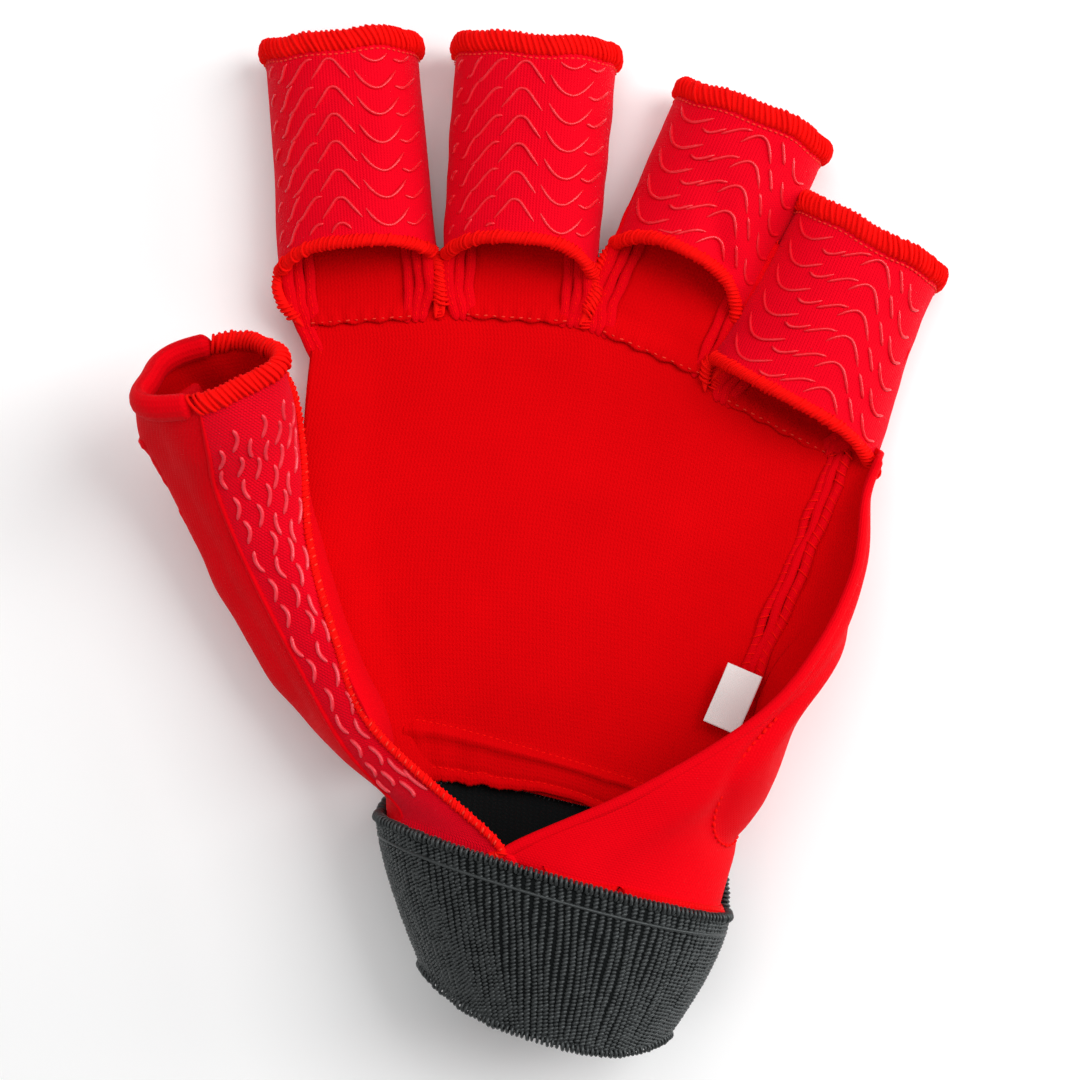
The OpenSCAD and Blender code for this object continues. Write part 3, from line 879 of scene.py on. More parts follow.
class Stall:
    """The shape of one finger stall, in its own across (u), along (v) and up (z) measures."""

    def __init__(self, name):
        self.name = name
        self.shape = STALLS[name]
        place, axis = joint_line(name + "_flex")
        self.place = place[:2]
        self.right = np.array([axis[0], axis[1]])
        self.ahead = np.array([-axis[1], axis[0]])
        _, ahead = self.flat_of("tip_hem")
        self.tip = float(ahead.max()) + 0.6
        side, ahead = self.flat_of("back_shell")
        self.foot = float(ahead[side > side.max() - 0.5].min())
        side, ahead = self.flat_of("base_hem")
        self.arch = float(ahead[side < 3.5].min())

    def flat_of(self, part):
        """How far to either side, and how far along, the points of a construction node lie."""
        flat = node_points(f"{self.name}_{part}")[:, :2] - self.place
        return np.abs(flat @ self.right), flat @ self.ahead

    def world(self, u, v, z):
        """Places in the frame, in millimetres, from the stall's own measures."""
        u, v, z = np.broadcast_arrays(*(np.asarray(part, float) for part in (u, v, z)))
        flat = self.place + u[..., None] * self.right + v[..., None] * self.ahead
        return np.concatenate([flat, z[..., None]], -1)

    def half(self, v):
        return lerp(self.shape["foot"], self.shape["tip"], smooth(v, 0, self.tip * 0.75))

    def middle(self, v):
        return lerp(self.shape["shift"], self.shape["tip_shift"], np.clip(v / self.tip, 0, 1))

    def section(self, turn, v, grow=0.0):
        """Place of the stall's wall: turn 0 is its right edge, half a turn its left edge."""
        turn, v = np.broadcast_arrays(np.asarray(turn, float), np.asarray(v, float))
        c, s = np.cos(turn), np.sin(turn)
        w = self.half(v) + grow
        bend = np.sign(c) * np.abs(c) ** 0.9
        u = self.middle(v) + w * bend
        rise = self.shape["rise"] + grow
        over = np.where(s >= 0, rise * np.abs(s) ** 0.92, -(1.1 + grow) * np.abs(s) ** 0.35)
        z = STALL_FLOOR + over - self.shape["tip_over"] * (u + w * 0.2)
        if self.name == "ring":
            dent = np.exp(-(((u - 9) + 0.55 * (v - 14)) ** 2) / 14 - ((v - 16) ** 2) / 120)
            z = z - 2.6 * dent * np.clip(s, 0, 1)
            pucker = np.exp(-((v - 15.5 - 0.3 * (u - 2)) ** 2) / 5 - ((u - 5) ** 2) / 60)
            z = z + 1.0 * pucker * np.clip(s, 0, 1)
            z = z - 3.2 * smooth(u, 3, 15) * (1 - smooth(v, 24, 40)) * np.clip(s * 3, 0, 1)
        if self.name == "index":
            ridge = np.exp(-((v - self.tip + 16 + 0.5 * u) ** 2) / 40)
            z = z + 0.35 * ridge * np.clip(s, 0, 1)
        return self.world(u, v, z)

    def base_edge(self, turn):
        """How far along the opening's edge is, at a turn of the section."""
        c = np.cos(np.asarray(turn, float))
        u = np.sign(c) * np.abs(c) ** 0.9
        left, right = self.shape["drop"]
        fall = np.where(u < 0, left, right) * np.abs(u) ** 3.4
        return self.arch + self.shape["crown"] - fall - self.shape["lean"] * 15 * u

    def tip_edge(self, turn):
        """The tip, a little wavy where the overlock has pulled it."""
        wave = 0.35 * np.sin(3.1 * turn + len(self.name)) + 0.2 * np.sin(7.3 * turn)
        return self.tip - 0.35 + wave

    def grip_grid(self, rows=110, columns=121):
        """The gripping front, from its opening to its hem and a little round both edges."""
        turn = np.linspace(HALF_TURN + 0.3, -0.3, columns)
        share = np.linspace(0, 1, rows)[:, None]
        low = self.base_edge(np.clip(turn, 0, HALF_TURN))
        v = lerp(low[None], (self.tip_edge(turn) - HEM_BACK)[None], share)
        grid = self.section(turn[None], v)
        return ruffled(grid, 0.12, 13, len(self.name) * 7)


# Half width of the stall that a printed row is laid out for
PRINT_HALF = 15.4
# One row of the printed rubber, as strokes of (across, along) points, for each of two layouts
WAVE_ROW = [
    [(-14.3, -0.8), (-13.9, 0.3), (-13.3, 1.2)],
    [(-12.6, -2.4), (-11.7, -1.8), (-10.9, 0.2), (-9.8, 2.0)],
    [(-10.8, -3.6), (-9.4, -2.6), (-7.7, -0.3), (-6.5, 0.9), (-5.3, 1.1)],
    [(-5.4, -3.0), (-3.9, -1.2), (-2.6, 0.5), (-1.6, 0.8), (-0.6, 0.4), (0.8, -1.4), (2.2, -3.2)],
    [(3.1, -1.6), (4.6, -3.7), (6.2, -4.9), (7.9, -5.0), (9.6, -3.7), (11.2, -1.6)],
    [(10.6, -4.6), (11.8, -5.0), (12.9, -4.4), (14.3, -2.6)],
]
HOOK_ROW = [
    [(-14.0, 2.4), (-13.2, 0.2), (-12.0, -1.5), (-10.3, -1.8), (-8.4, -0.8), (-6.9, 0.2)],
    [(-8.2, -2.4), (-7.0, -2.8), (-5.6, -2.2), (-4.0, -0.9)],
    [(-4.6, -2.2), (-3.0, -1.0), (-1.2, 0.2), (0.6, 0.7)],
    [(-0.6, -2.0), (0.8, -0.4), (2.3, 0.6), (3.8, 0.3), (5.0, -1.2), (6.2, -3.4)],
    [(6.8, -4.2), (7.9, -6.2), (8.8, -8.0)],
    [(9.8, -5.6), (10.9, -8.2), (12.2, -9.4), (13.6, -8.8)],
]


def wave_guides(stall, row_pitch):
    """Guide lines of the printed waves on a stall, laid on its wall."""
    lines = []
    layout = HOOK_ROW if stall.name in ("ring", "little") else WAVE_ROW
    top = stall.tip - 4.8
    rng = np.random.default_rng(11 + len(stall.name))
    rows = int((top - stall.foot) / row_pitch) + 3
    for row in range(-1, rows):
        for stroke in layout:
            p = spline(stroke, np.linspace(0, 1, 17)) + rng.normal(0, 0.12, 2)
            v = top - 2.2 - row * row_pitch + p[:, 1]
            half = stall.half(v)
            u = p[:, 0] * half / PRINT_HALF
            bend = np.clip(u / (half + 0.01), -0.985, 0.985)
            turn = np.arccos(np.sign(bend) * np.abs(bend) ** (1 / 0.9))
            low = stall.base_edge(turn) + 1.5
            keep = (v < stall.tip_edge(turn) - 5.0) & (v > low)
            if keep.sum() < 6:
                continue
            turn, v = turn[keep], v[keep]
            here = stall.section(turn, v)
            aside, ahead = stall.section(turn - 0.03, v) - here, stall.section(turn, v + 0.3) - here
            nrm = unit(np.cross(aside, ahead))
            lines.append((here + nrm * 0.02, nrm))
    return lines


class GLOVE_OT_finger_grips(bpy.types.Operator):
    """Sew the gripping front of each finger stall, with its printed rubber waves"""

    bl_idname = "glove.finger_grips"
    bl_label = "Finger grips"

    def execute(self, context):
        s = sizes()
        for name in FINGERS:
            stall = Stall(name)
            grid = stall.grip_grid()
            cloths = [finish_named("grip_knit"), finish_named("lining_knit")]
            panel = cloth_sheet(name + "_grip", grid, s.grip_wall / MM, cloths)
            settle(panel, name, nodes=[name + "_grip_panel"])
            guides = wave_guides(stall, s.wave_pitch / MM)
            waves = raised_lines(name + "_waves", guides, s.wave_width / 2, finish_named("silicone"))
            settle(waves, name)
        return {"FINISHED"}


class GLOVE_OT_finger_hems(bpy.types.Operator):
    """Overlock the tip and the base opening of each finger stall"""

    bl_idname = "glove.finger_hems"
    bl_label = "Finger hems"

    def execute(self, context):
        s = sizes()
        thread, pale = finish_named("overlock_thread"), finish_named("pale_thread")
        for k, name in enumerate(FINGERS):
            stall = Stall(name)
            turn = np.linspace(0, FULL_TURN, 181)[:-1]
            path = stall.section(turn, stall.tip_edge(turn) - HEM_BACK, -0.2)
            inner = stall.section(turn, stall.tip_edge(turn) - HEM_BACK, -1.2)
            out = unit(path - inner)
            body = roll(name + "_tip_roll", path, out, [thread], 1.9, 1.06, closed=True)
            ring = np.concatenate([path, path[:1]])
            ring_out = np.concatenate([out, out[:1]])
            loops = wraps(
                name + "_tip_wraps", [(ring, ring_out)], thread,
                pitch=s.overlock_pitch / MM, wide=2.1, high=1.25, thread=0.33, tilt=0.42,
                seed=3 + k, jitter=0.09,
            )
            front = (turn > -0.1) & (turn < HALF_TURN + 0.1)
            low = stall.section(turn[front], stall.tip_edge(turn[front]) - 4.6, 0.12)
            dashes = stitches(
                name + "_tip_stitches", [(low, out[front])], pale,
                pitch=1.15, length=0.75, width=0.34, height=0.3, seed=9 + k,
            )
            hem = joined(name + "_tip_edge", [body, loops, dashes])
            settle(hem, name, nodes=[name + "_tip_hem"])

            # The opening's edge, from its foot on the palm over the crown to its other foot
            turn = np.linspace(HALF_TURN, 0, 120)
            over = stall.section(turn, stall.base_edge(turn) - 0.2, -0.35)[4:-4:6]
            left = self.edge_foot(stall, stall.shape["feet"][0], -1, HALF_TURN)
            right = self.edge_foot(stall, stall.shape["feet"][1], 1, 0.0)
            path = np.concatenate([left, over, right[::-1]])
            path = evenly(spline(path, np.linspace(0, 1, 500)), 190)
            hub = stall.world(stall.middle(6.0), 6.0, LINING_TOP)
            out = unit(path - hub) * [1, 1, 0.6] + [0, 0, 1.1]
            body = roll(name + "_base_roll", path, out, [thread], 1.14, 1.04, taper=0.09)
            loops = wraps(
                name + "_base_wraps", [(path[8:-8], unit(out[8:-8]))], thread,
                pitch=0.9, wide=1.3, high=1.2, thread=0.25, tilt=-0.5, seed=13 + k, jitter=0.1,
            )
            hem = joined(name + "_base_edge", [body, loops])
            settle(hem, name, nodes=[name + "_base_hem"])
        return {"FINISHED"}

    @staticmethod
    def edge_foot(stall, foot_u, side, turn):
        """Three places on the opening's edge, from the palm up to the stall's side."""
        edge_v = float(stall.base_edge(turn))
        half = side * float(stall.half(edge_v)) + float(stall.middle(edge_v))
        return [
            stall.world(foot_u, -0.9, LINING_TOP + 1.2),
            stall.world(lerp(foot_u, half, 0.75), edge_v * 0.3, LINING_TOP + 1.5),
            stall.world(half + side * 0.3, edge_v * 0.68, LINING_TOP + 1.9),
        ]


class GLOVE_OT_finger_backs(bpy.types.Operator):
    """Lay the lining and the shell of each finger's back across its base seam"""

    bl_idname = "glove.finger_backs"
    bl_label = "Finger backs"

    def execute(self, context):
        for k, name in enumerate(FINGERS):
            stall = Stall(name)
            low, high = (stall.world(0.0, v, SHELL_TOP) * MM for v in (-1.6, 2.2))
            bend = ("hand", name, low, high)
            cloth = finish_named("shell_knit")
            share = np.linspace(-1, 1, 61)[None]
            v = np.linspace(-0.9, stall.tip - 2.6, 90)[:, None]
            wide = lerp(STRIP_HALF[name] + 0.4, stall.half(v) - 0.9, smooth(v, 1.0, 5.0))
            u = share * wide + stall.middle(v) * smooth(v, 1, 6)
            lift = 1.4 * np.abs(share) ** 6 * smooth(v, 1, 6)
            crown = 0.25 * np.cos(share * 2.2) * smooth(v, -0.9, 3)
            # Its raw end steps up onto the palm's lining and is pulled uneven by its stitches
            pulls = 0.14 * np.sin(share * 21 + k) * (1 - smooth(v, -0.5, 3))
            step = lerp(1.25, 0.12, smooth(v, 0.4, 4.5)) + pulls
            end = v + 0.25 * np.sin(share * 13 + k) * (1 - smooth(v, -0.9, 2))
            grid = stall.world(u, end, LINING_TOP + step + lift + crown)
            grid = ruffled(grid, 0.07, 9, 31 + k)
            lining = cloth_sheet(name + "_lining", grid, FINGER_LINING_WALL, [finish_named("lining_knit")])
            settle(lining, bend=bend, nodes=[name + "_back_lining"])

            v = np.linspace(-0.2, stall.tip - 2.2, 90)[:, None]
            wide = lerp(STRIP_HALF[name] + 0.4, stall.half(v) - 0.15, smooth(v, 1.0, stall.foot + 2))
            u = share * wide + stall.middle(v) * smooth(v, 1, 6)
            lift = 1.5 * np.abs(share) ** 5 * smooth(v, 1, 6)
            grid = stall.world(u, v, SHELL_TOP - 0.82 + lift)[:, ::-1]
            shell = cloth_sheet(name + "_shell", grid, SHELL_WALL, [cloth])
            settle(shell, bend=bend, nodes=[name + "_back_shell"])

            # Seam allowances that stand up inside the stall, and the row of stitches on each
            parts, rows = [], []
            for side in (-1, 1):
                for step, high in ((-0.6, 0.4), (1.5, 0.5), (3.4, 0.55)):
                    t = np.linspace(0, 1, 60)
                    reach = -10.0 if name == "index" and side < 0 and step > 1 else -1.6
                    v = lerp(reach, stall.arch + 12, t)
                    spread = 0.9 * smooth(v, -2, 6) - 0.3 * step * (1 - smooth(v, -1, 5))
                    aside = side * (STRIP_HALF[name] + step + spread) + stall.middle(v) * smooth(v, 1, 6)
                    u = aside + 0.1 * np.sin(v * 0.9 + step) + 0.42 * np.clip(-v - 1, 0, 9)
                    z = LINING_TOP + 0.75 + 0.42 * (step + 1) * smooth(v, 0, 8) + 0.12 * np.sin(v * 0.7)
                    path = stall.world(u, v, z)
                    parts.append(
                        roll(f"{name}_allowance", path, UP, [cloth], 1.15, high, sides=12, taper=0.05)
                    )
                    rows.append((path[4:] + UP * (high + 0.02), UP))
            parts.append(
                stitches(
                    name + "_allowance_stitches", rows, finish_named("overlock_thread"),
                    pitch=1.5, length=0.8, width=0.24, height=0.16, seed=5 + k,
                )
            )
            seam_u = np.linspace(-STRIP_HALF[name], STRIP_HALF[name], 40)
            seam = stall.world(seam_u, np.full(40, -0.3), LINING_TOP + 1.35)
            parts.append(
                stitches(
                    name + "_base_stitches", [(seam, UP)], finish_named("pale_thread"),
                    pitch=1.7, length=0.8, width=0.26, height=0.3, seed=7 + k, jitter=0.2,
                )
            )
            seams = joined(name + "_inner_seams", parts)
            settle(seams, bend=bend)
        return {"FINISHED"}


# ---- Hand ----

# The two long edges of the hand, from the stalls to the wrist
HAND_RIGHT = [(57.5, 12), (53, -3), (47.5, -16), (42, -30), (36, -43)]
HAND_LEFT = [(-48.5, 36), (-46.5, 16), (-45, -2), (-40, -20), (-33, -38)]

# The cuff: half widths at its front edge and its wrist, half height, middle of its front
# edge, run to the wrist and direction across, turned clockwise from the x axis
CUFF_HALF = (35.0, 22.5)
CUFF_HIGH = 17.5
CUFF_MIDDLE = np.array([2.5, -62.0, 20.9])
CUFF_RUN = np.array([-1.8, -29.0, -0.6])
CUFF_TURN = math.radians(16)
CUFF_ACROSS = np.array([math.cos(CUFF_TURN), -math.sin(CUFF_TURN), 0])
# How far inside the cuff's outer face the flap and the thumb are sewn
INSIDE_CUFF = 2.2


def cuff_point(s, angle, inset=0.0):
    """Place on the cuff: s is 0 at its front edge and 1 at the wrist, and 90 degrees is on top."""
    s, angle, inset = np.broadcast_arrays(np.asarray(s, float), angle, inset)
    turn = np.radians(angle)
    wide = lerp(CUFF_HALF[0], CUFF_HALF[1], np.sign(s) * np.abs(s) ** 1.42) - inset
    high = CUFF_HIGH - 1.5 * s**2 - inset
    c, d = np.cos(turn), np.sin(turn)
    lower = np.where(d < 0, 0.62, 1.0)
    x = wide * np.sign(c) * np.abs(c) ** lower
    z = high * np.sign(d) * np.abs(d) ** lower
    centre = CUFF_MIDDLE + s[..., None] * CUFF_RUN
    return centre + x[..., None] * CUFF_ACROSS + z[..., None] * UP


def back_reach(angle):
    """How far the cuff's back reaches ahead of its front edge, as a share of its run."""
    lean = np.cos(np.radians(angle))
    fade = 1 - (np.abs(angle - 270) / 82) ** 2.5
    return -(0.38 + 0.17 * lean) * 28 / 29 * fade


def wrist_edge(angle, up=0.0):
    """The hand's lower edge along the cuff's back, seen from above."""
    p = cuff_point(back_reach(angle), angle)
    return np.stack([p[..., 0], p[..., 1] + 0.35 + up], -1)


def base_line(ahead=-0.35):
    """The seam under the stalls, from the index side to the little finger's."""
    points = []
    for name in FINGERS:
        stall = Stall(name)
        for side in (-1, 1):
            u = side * STRIP_HALF[name]
            points.append(stall.world(u, ahead, 0.0)[:2])
    return np.array(points)


def hand_patch(rows=130, columns=140):
    """A grid over the flat of the hand, between its four edges, and its shares down and across."""
    top = evenly(base_line(), columns)
    low = evenly(wrist_edge(np.linspace(222, 318, 40)), columns)
    left = evenly(spline([top[0], *HAND_LEFT[1:], low[0]], np.linspace(0, 1, 80)), rows)
    right = evenly(spline([top[-1], *HAND_RIGHT[:-1], low[-1]], np.linspace(0, 1, 80)), rows)
    s = np.linspace(0, 1, rows)[:, None, None]
    t = np.linspace(0, 1, columns)[None, :, None]
    flat = (
        (1 - s) * top[None]
        + s * low[None]
        + (1 - t) * left[:, None]
        + t * right[:, None]
        - (1 - s) * (1 - t) * top[0]
        - (1 - s) * t * top[-1]
        - s * (1 - t) * low[0]
        - s * t * low[-1]
    )
    return flat[::-1], s[::-1, :, 0], t[0, :, 0][None]


class GLOVE_OT_hand_panels(bpy.types.Operator):
    """Lay the lining and the shell of the hand, and close the webs with bar tacks"""

    bl_idname = "glove.hand_panels"
    bl_label = "Hand panels"

    def execute(self, context):
        flat, s, t = hand_patch()
        x, y = flat[..., 0], flat[..., 1]
        # The lining rises towards the thumb, dips in the middle and lifts at the side seam
        left = smooth(1 - t, 0.86, 1.0) * (1 - smooth(1 - s, 0.85, 1.0))
        dish = 0.5 * np.sin(HALF_TURN * t) * np.sin(HALF_TURN * s)
        z = LINING_TOP + 0.5 + 2.6 * left - dish + 0.7 * smooth(t, 0.93, 1.0)
        # Soft creases that fan out below the index and middle stalls
        for cx, cy, lean, high in ((-18, 20, 0.5, 0.22), (14, 8, -0.4, 0.2), (4, -30, 0.1, 0.25)):
            far = (x - cx) * math.cos(lean) + (y - cy) * math.sin(lean)
            beside = -(x - cx) * math.sin(lean) + (y - cy) * math.cos(lean)
            z = z + high * np.exp(-(beside**2) / 18 - far**2 / 420)
        z = z - 0.5 * (1 - smooth(1 - s, 0.0, 0.04))
        grid = np.concatenate([flat, z[..., None]], -1)
        grid = ruffled(grid, 0.08, 17, 5)
        lining = cloth_sheet("palm_lining", grid, PALM_WALL, [finish_named("lining_knit")])
        settle(lining, "hand", nodes=["hand_lining"])

        z = np.full(x.shape, SHELL_TOP - 0.8) + 1.4 * smooth(1 - t, 0.93, 1.0)
        grid = np.concatenate([flat, z[..., None]], -1)[:, ::-1]
        shell = cloth_sheet("hand_back_shell", grid, SHELL_WALL, [finish_named("shell_knit")])
        settle(shell, "hand", nodes=["hand_shell"])

        # Webs: cloth that fills the fork between neighbouring stalls, gathered by a small tack
        points = base_line()
        thread, cloth = finish_named("overlock_thread"), finish_named("lining_knit")
        parts, patches = [], []
        for k in range(3):
            one, two = Stall(FINGERS[k]), Stall(FINGERS[k + 1])
            a, b = points[2 * k + 1], points[2 * k + 2]
            low = np.linspace(a, b, 14)
            left = one.world(one.half(7.0), 7.5, 0.0)[:2]
            right = two.world(-two.half(7.0), 7.5, 0.0)[:2]
            high = np.linspace(left, right, 14)
            share = np.linspace(-0.12, 1, 16)[:, None, None]
            flat = (1 - share) * low[None] + share * high[None]
            sag = 0.5 * np.sin(HALF_TURN * np.linspace(0, 1, 14))[None]
            z = LINING_TOP + 0.35 - sag * smooth(share[..., 0], 0.1, 0.8)
            patch = np.concatenate([flat, z[..., None]], -1)
            patches.append(cloth_sheet("web_cloth", patch, FINGER_LINING_WALL, [cloth]))
            spot = (a + b) / 2
            way = unit(b - a)
            down = np.array([way[1], -way[0]])
            down = -down if down[1] > 0 else down
            tack = spot + down * np.linspace(-2.4, 0.9, 24)[:, None]
            fall = np.linspace(LINING_TOP + 1.3, LINING_TOP + 0.7, 24)[:, None]
            tack = np.concatenate([tack, fall], 1)
            parts.append(roll("web_fold", tack, UP, [cloth], 1.0, 0.6, sides=14, taper=0.4))
            parts.append(
                wraps(
                    "web_wraps", [(tack[5:-5], UP)], thread,
                    pitch=0.6, wide=0.95, high=0.62, thread=0.16, tilt=0.25, seed=21 + k,
                )
            )
        fill = joined("web_fill", patches)
        settle(fill, "hand")
        webs = joined("stall_webs", parts)
        settle(webs, "hand", nodes=["web_tacks"])
        return {"FINISHED"}


# ---- Foam on the back ----

# Construction nodes of the hand's foam, and of the small side pads with their bodies
HAND_PADS = ("knuckle_pad", "upper_pad", "middle_pad", "lower_pad", "wrist_pad")
SIDE_PADS = {"little_side_pad": "hand", "thumb_base_pad": "hand", "thumb_tip_pad": "thumb"}
# The pads are blown up at an enlarged scale, where the cloth solver is steady
SIM_SCALE = 40.0
SIM_FRAMES = 20
# Lowest place of any pad above the table, in metres
TABLE_GAP = 0.00005


def coordinates(data, key="co"):
    """A mesh's vertex places or normals as rows of three."""
    flat = np.empty(len(data.vertices) * 3)
    data.vertices.foreach_get(key, flat)
    return flat.reshape(-1, 3)


def place_points(data, points):
    data.vertices.foreach_set("co", points.astype(np.float32).ravel())
    data.update()


def swollen(name, node, voxel, cap, inset):
    """A soft block in the space of a construction node, blown up as cloth and held near its start."""
    mesh = frame["nodes"][node].data.copy()
    mesh.name = name
    mesh.materials.clear()
    obj = add_object(name, mesh)
    bm = bmesh.new()
    bm.from_mesh(mesh)
    bmesh.ops.remove_doubles(bm, verts=bm.verts, dist=0.00002)
    bmesh.ops.recalc_face_normals(bm, faces=bm.faces)
    for v in bm.verts:
        v.co *= SIM_SCALE
    bm.to_mesh(mesh)
    bm.free()
    bpy.ops.object.select_all(action="DESELECT")
    bpy.context.view_layer.objects.active = obj
    obj.select_set(True)
    remesh = obj.modifiers.new("cells", "REMESH")
    remesh.mode = "VOXEL"
    remesh.voxel_size = voxel * MM * SIM_SCALE
    bpy.ops.object.modifier_apply(modifier=remesh.name)
    mesh = obj.data
    start = coordinates(mesh) - coordinates(mesh, "normal") * inset * MM * SIM_SCALE
    mesh.vertices.foreach_set("co", start.ravel())
    mesh.update()
    obj.modifiers.new("soften", "SMOOTH").iterations = 4
    bpy.ops.object.modifier_apply(modifier="soften")
    start = coordinates(obj.data)
    move = blown_up(obj) - start
    far = np.linalg.norm(move, axis=1)
    limit = cap * MM * SIM_SCALE
    move *= np.minimum(1, limit / np.maximum(far, 1e-9))[:, None]
    final = (start + move) / SIM_SCALE
    final[:, 2] = np.maximum(final[:, 2], TABLE_GAP)
    place_points(obj.data, final)
    finer = obj.modifiers.new("finer", "SUBSURF")
    finer.levels = finer.render_levels = 1
    bpy.ops.object.modifier_apply(modifier=finer.name)
    obj.data.materials.append(finish_named("pad_skin"))
    obj.data.polygons.foreach_set("use_smooth", np.ones(len(obj.data.polygons), bool))
    return obj


def blown_up(obj):
    """Where a cloth simulation with pressure inside takes the object's points."""
    cloth = obj.modifiers.new("foam", "CLOTH")
    cloth.settings.quality = 4
    cloth.settings.use_pressure = True
    cloth.settings.uniform_pressure_force = 4
    cloth.settings.tension_stiffness = 20
    cloth.settings.bending_stiffness = 2
    cloth.settings.effector_weights.gravity = 0
    cloth.collision_settings.use_collision = False
    scene = bpy.context.scene
    cloth.point_cache.frame_start, cloth.point_cache.frame_end = 1, SIM_FRAMES
    for number in range(1, SIM_FRAMES + 1):
        scene.frame_set(number)
    graph = bpy.context.evaluated_depsgraph_get()
    done = coordinates(obj.evaluated_get(graph).data)
    obj.modifiers.remove(cloth)
    scene.frame_set(1)
    return done


class GLOVE_OT_foam_pads(bpy.types.Operator):
    """Stuff the foam blocks on the back of the fingers, the hand and the thumb"""

    bl_idname = "glove.foam_pads"
    bl_label = "Foam pads"

    def execute(self, context):
        # Voxel, cap and inset in millimetres
        for name in FINGERS:
            pad = swollen(name + "_foam", name + "_back_pad", 0.9, 0.8, 0.55)
            settle(pad, name, nodes=[name + "_back_pad"])
        for node in HAND_PADS:
            pad = swollen("back_" + node.replace("_pad", "_foam"), node, 1.0, 0.9, 0.6)
            settle(pad, "hand", nodes=[node])
        for node, body in SIDE_PADS.items():
            pad = swollen(node.replace("_pad", "_foam"), node, 0.8, 0.5, 0.35)
            if node == "little_side_pad":
                self.shrink(pad, 0.55, (-4.8, 3.4, 0.4))
            settle(pad, body, nodes=[node])
        return {"FINISHED"}

    @staticmethod
    def shrink(pad, share, move):
        """Draws a pad in towards its middle, and moves it in millimetres, to lie inside the cloth."""
        co = coordinates(pad.data)
        middle = co.mean(0)
        place_points(pad.data, middle + (co - middle) * share + np.array(move) * MM)


# ---- Side flap ----

# Height of the flap's seam above the table
FLAP_Z = 7.3
# Middle and half sizes of the stitched oval, as shares along and across the flap
FLAP_OVAL = (0.5, 0.42, 0.19, 0.46)
# Bends across the flap, each from the seam round the hand's edge to the opening
FLAP_SECTIONS = [
    [(61.0, 19, FLAP_Z), (67.0, 18.5, FLAP_Z), (68.5, 17, 10), (66.5, 16, 13.5)],
    [(57.5, 11, FLAP_Z), (64, 10.5, FLAP_Z), (66.5, 9.5, 11), (63.5, 8.5, 15)],
    [(53, -3, FLAP_Z), (61, -3, FLAP_Z), (66.5, -4, 18), (60.5, -5.7, 22)],
    [(47.5, -16, FLAP_Z), (56, -17, FLAP_Z), (61.5, -20, 26), (52.4, -20.6, 29)],
    [(42, -30, FLAP_Z), (49.5, -31, FLAP_Z), (52, -35, 31), (40.7, -33.3, 33)],
    [(36, -45, FLAP_Z), (47.5, -46, FLAP_Z), (47.5, -49, 36), (18.3, -46.5, 36)],
]


def flap_grid(rows=150, columns=80):
    """The flap from the side seam, round the edge of the hand, to the border of the opening."""
    t = np.linspace(0, 1, columns)[:, None]
    stations = []
    for section in FLAP_SECTIONS:
        a, b, c, d = np.array(section, float)
        stations.append(
            a * (1 - t) ** 3 + b * 3 * t * (1 - t) ** 2 + c * 3 * t**2 * (1 - t) + d * t**3
        )
    angles = np.linspace(-25, 104, columns)
    for s in (-0.1, 0.0, 0.14):
        stations.append(cuff_point(s, angles, INSIDE_CUFF))
    return spline(np.array(stations), np.linspace(0, 1, rows))


class GLOVE_OT_side_flap(bpy.types.Operator):
    """Fold the side flap from the little finger's edge over the palm to the cuff"""

    bl_idname = "glove.side_flap"
    bl_label = "Side flap"

    def execute(self, context):
        grid = flap_grid()
        n, m = grid.shape[:2]
        a = np.linspace(0, 1, n)[:, None]
        b = np.linspace(0, 1, m)[None]
        nrm = grid_normals(grid)
        # The pad under the cloth stands out inside its stitched oval
        mid_a, mid_b, long, wide = FLAP_OVAL
        oval = np.sqrt(((a - mid_a) / long) ** 2 + ((b - mid_b) / wide) ** 2)
        groove = 0.9 * np.exp(-((oval - 1.0) ** 2) / 0.005) * smooth(a, 0.44, 0.52)
        swell = 1.5 * (1 - smooth(oval, 0.72, 1.0)) - groove
        fold = 0.6 * np.exp(-((b - 0.74 - 0.12 * a) ** 2) / 0.005) * smooth(a, 0.35, 0.7)
        outward = nrm[n // 3, m // 2] @ np.array([1.0, 0, 0.1])
        sign = -1.0 if outward < 0 else 1.0
        out = sign * nrm
        outside = grid + out * (swell + fold)[..., None]
        thick = FLAP_WALL + np.clip(swell, 0, 3)
        if sign < 0:
            outside, thick = outside[:, ::-1], thick[:, ::-1]
        outside = ruffled(outside, 0.2, 23, 17)
        cloth = finish_named("shell_knit")
        panel = cloth_sheet("side_flap_cloth", outside, thick, [cloth, finish_named("lining_knit")])
        settle(panel, "hand", nodes=["side_flap"])

        # Turned edge of the opening
        edge = grid[:, -1] - out[:, -1] * 0.5
        fold_roll = roll("side_flap_fold", edge, out[:, -1], [cloth], 1.15, 0.95, sides=16, taper=0.02)
        settle(fold_roll, "hand")
        # Stitches round the part of the oval that isn't hidden by the swell
        turn = np.linspace(0, 0.62 * HALF_TURN, 90)
        line, line_out = on_grid(grid, mid_a + long * np.sin(turn), mid_b + wide * np.cos(turn))
        line_out = sign * line_out
        trim = stitches(
            "flap_oval", [(line - line_out * 0.6, line_out)], finish_named("overlock_thread"),
            pitch=1.5, length=1.1, width=0.5, height=0.6, seed=43, jitter=0.15,
        )
        settle(trim, "hand")
        return {"FINISHED"}


# The seam inside the hand's edge, seen from above
SIDE_SEAM_LINE = [(60.2, 17.5), (56.6, 8), (52.2, -3), (46.6, -16), (41.2, -29), (38.4, -35)]


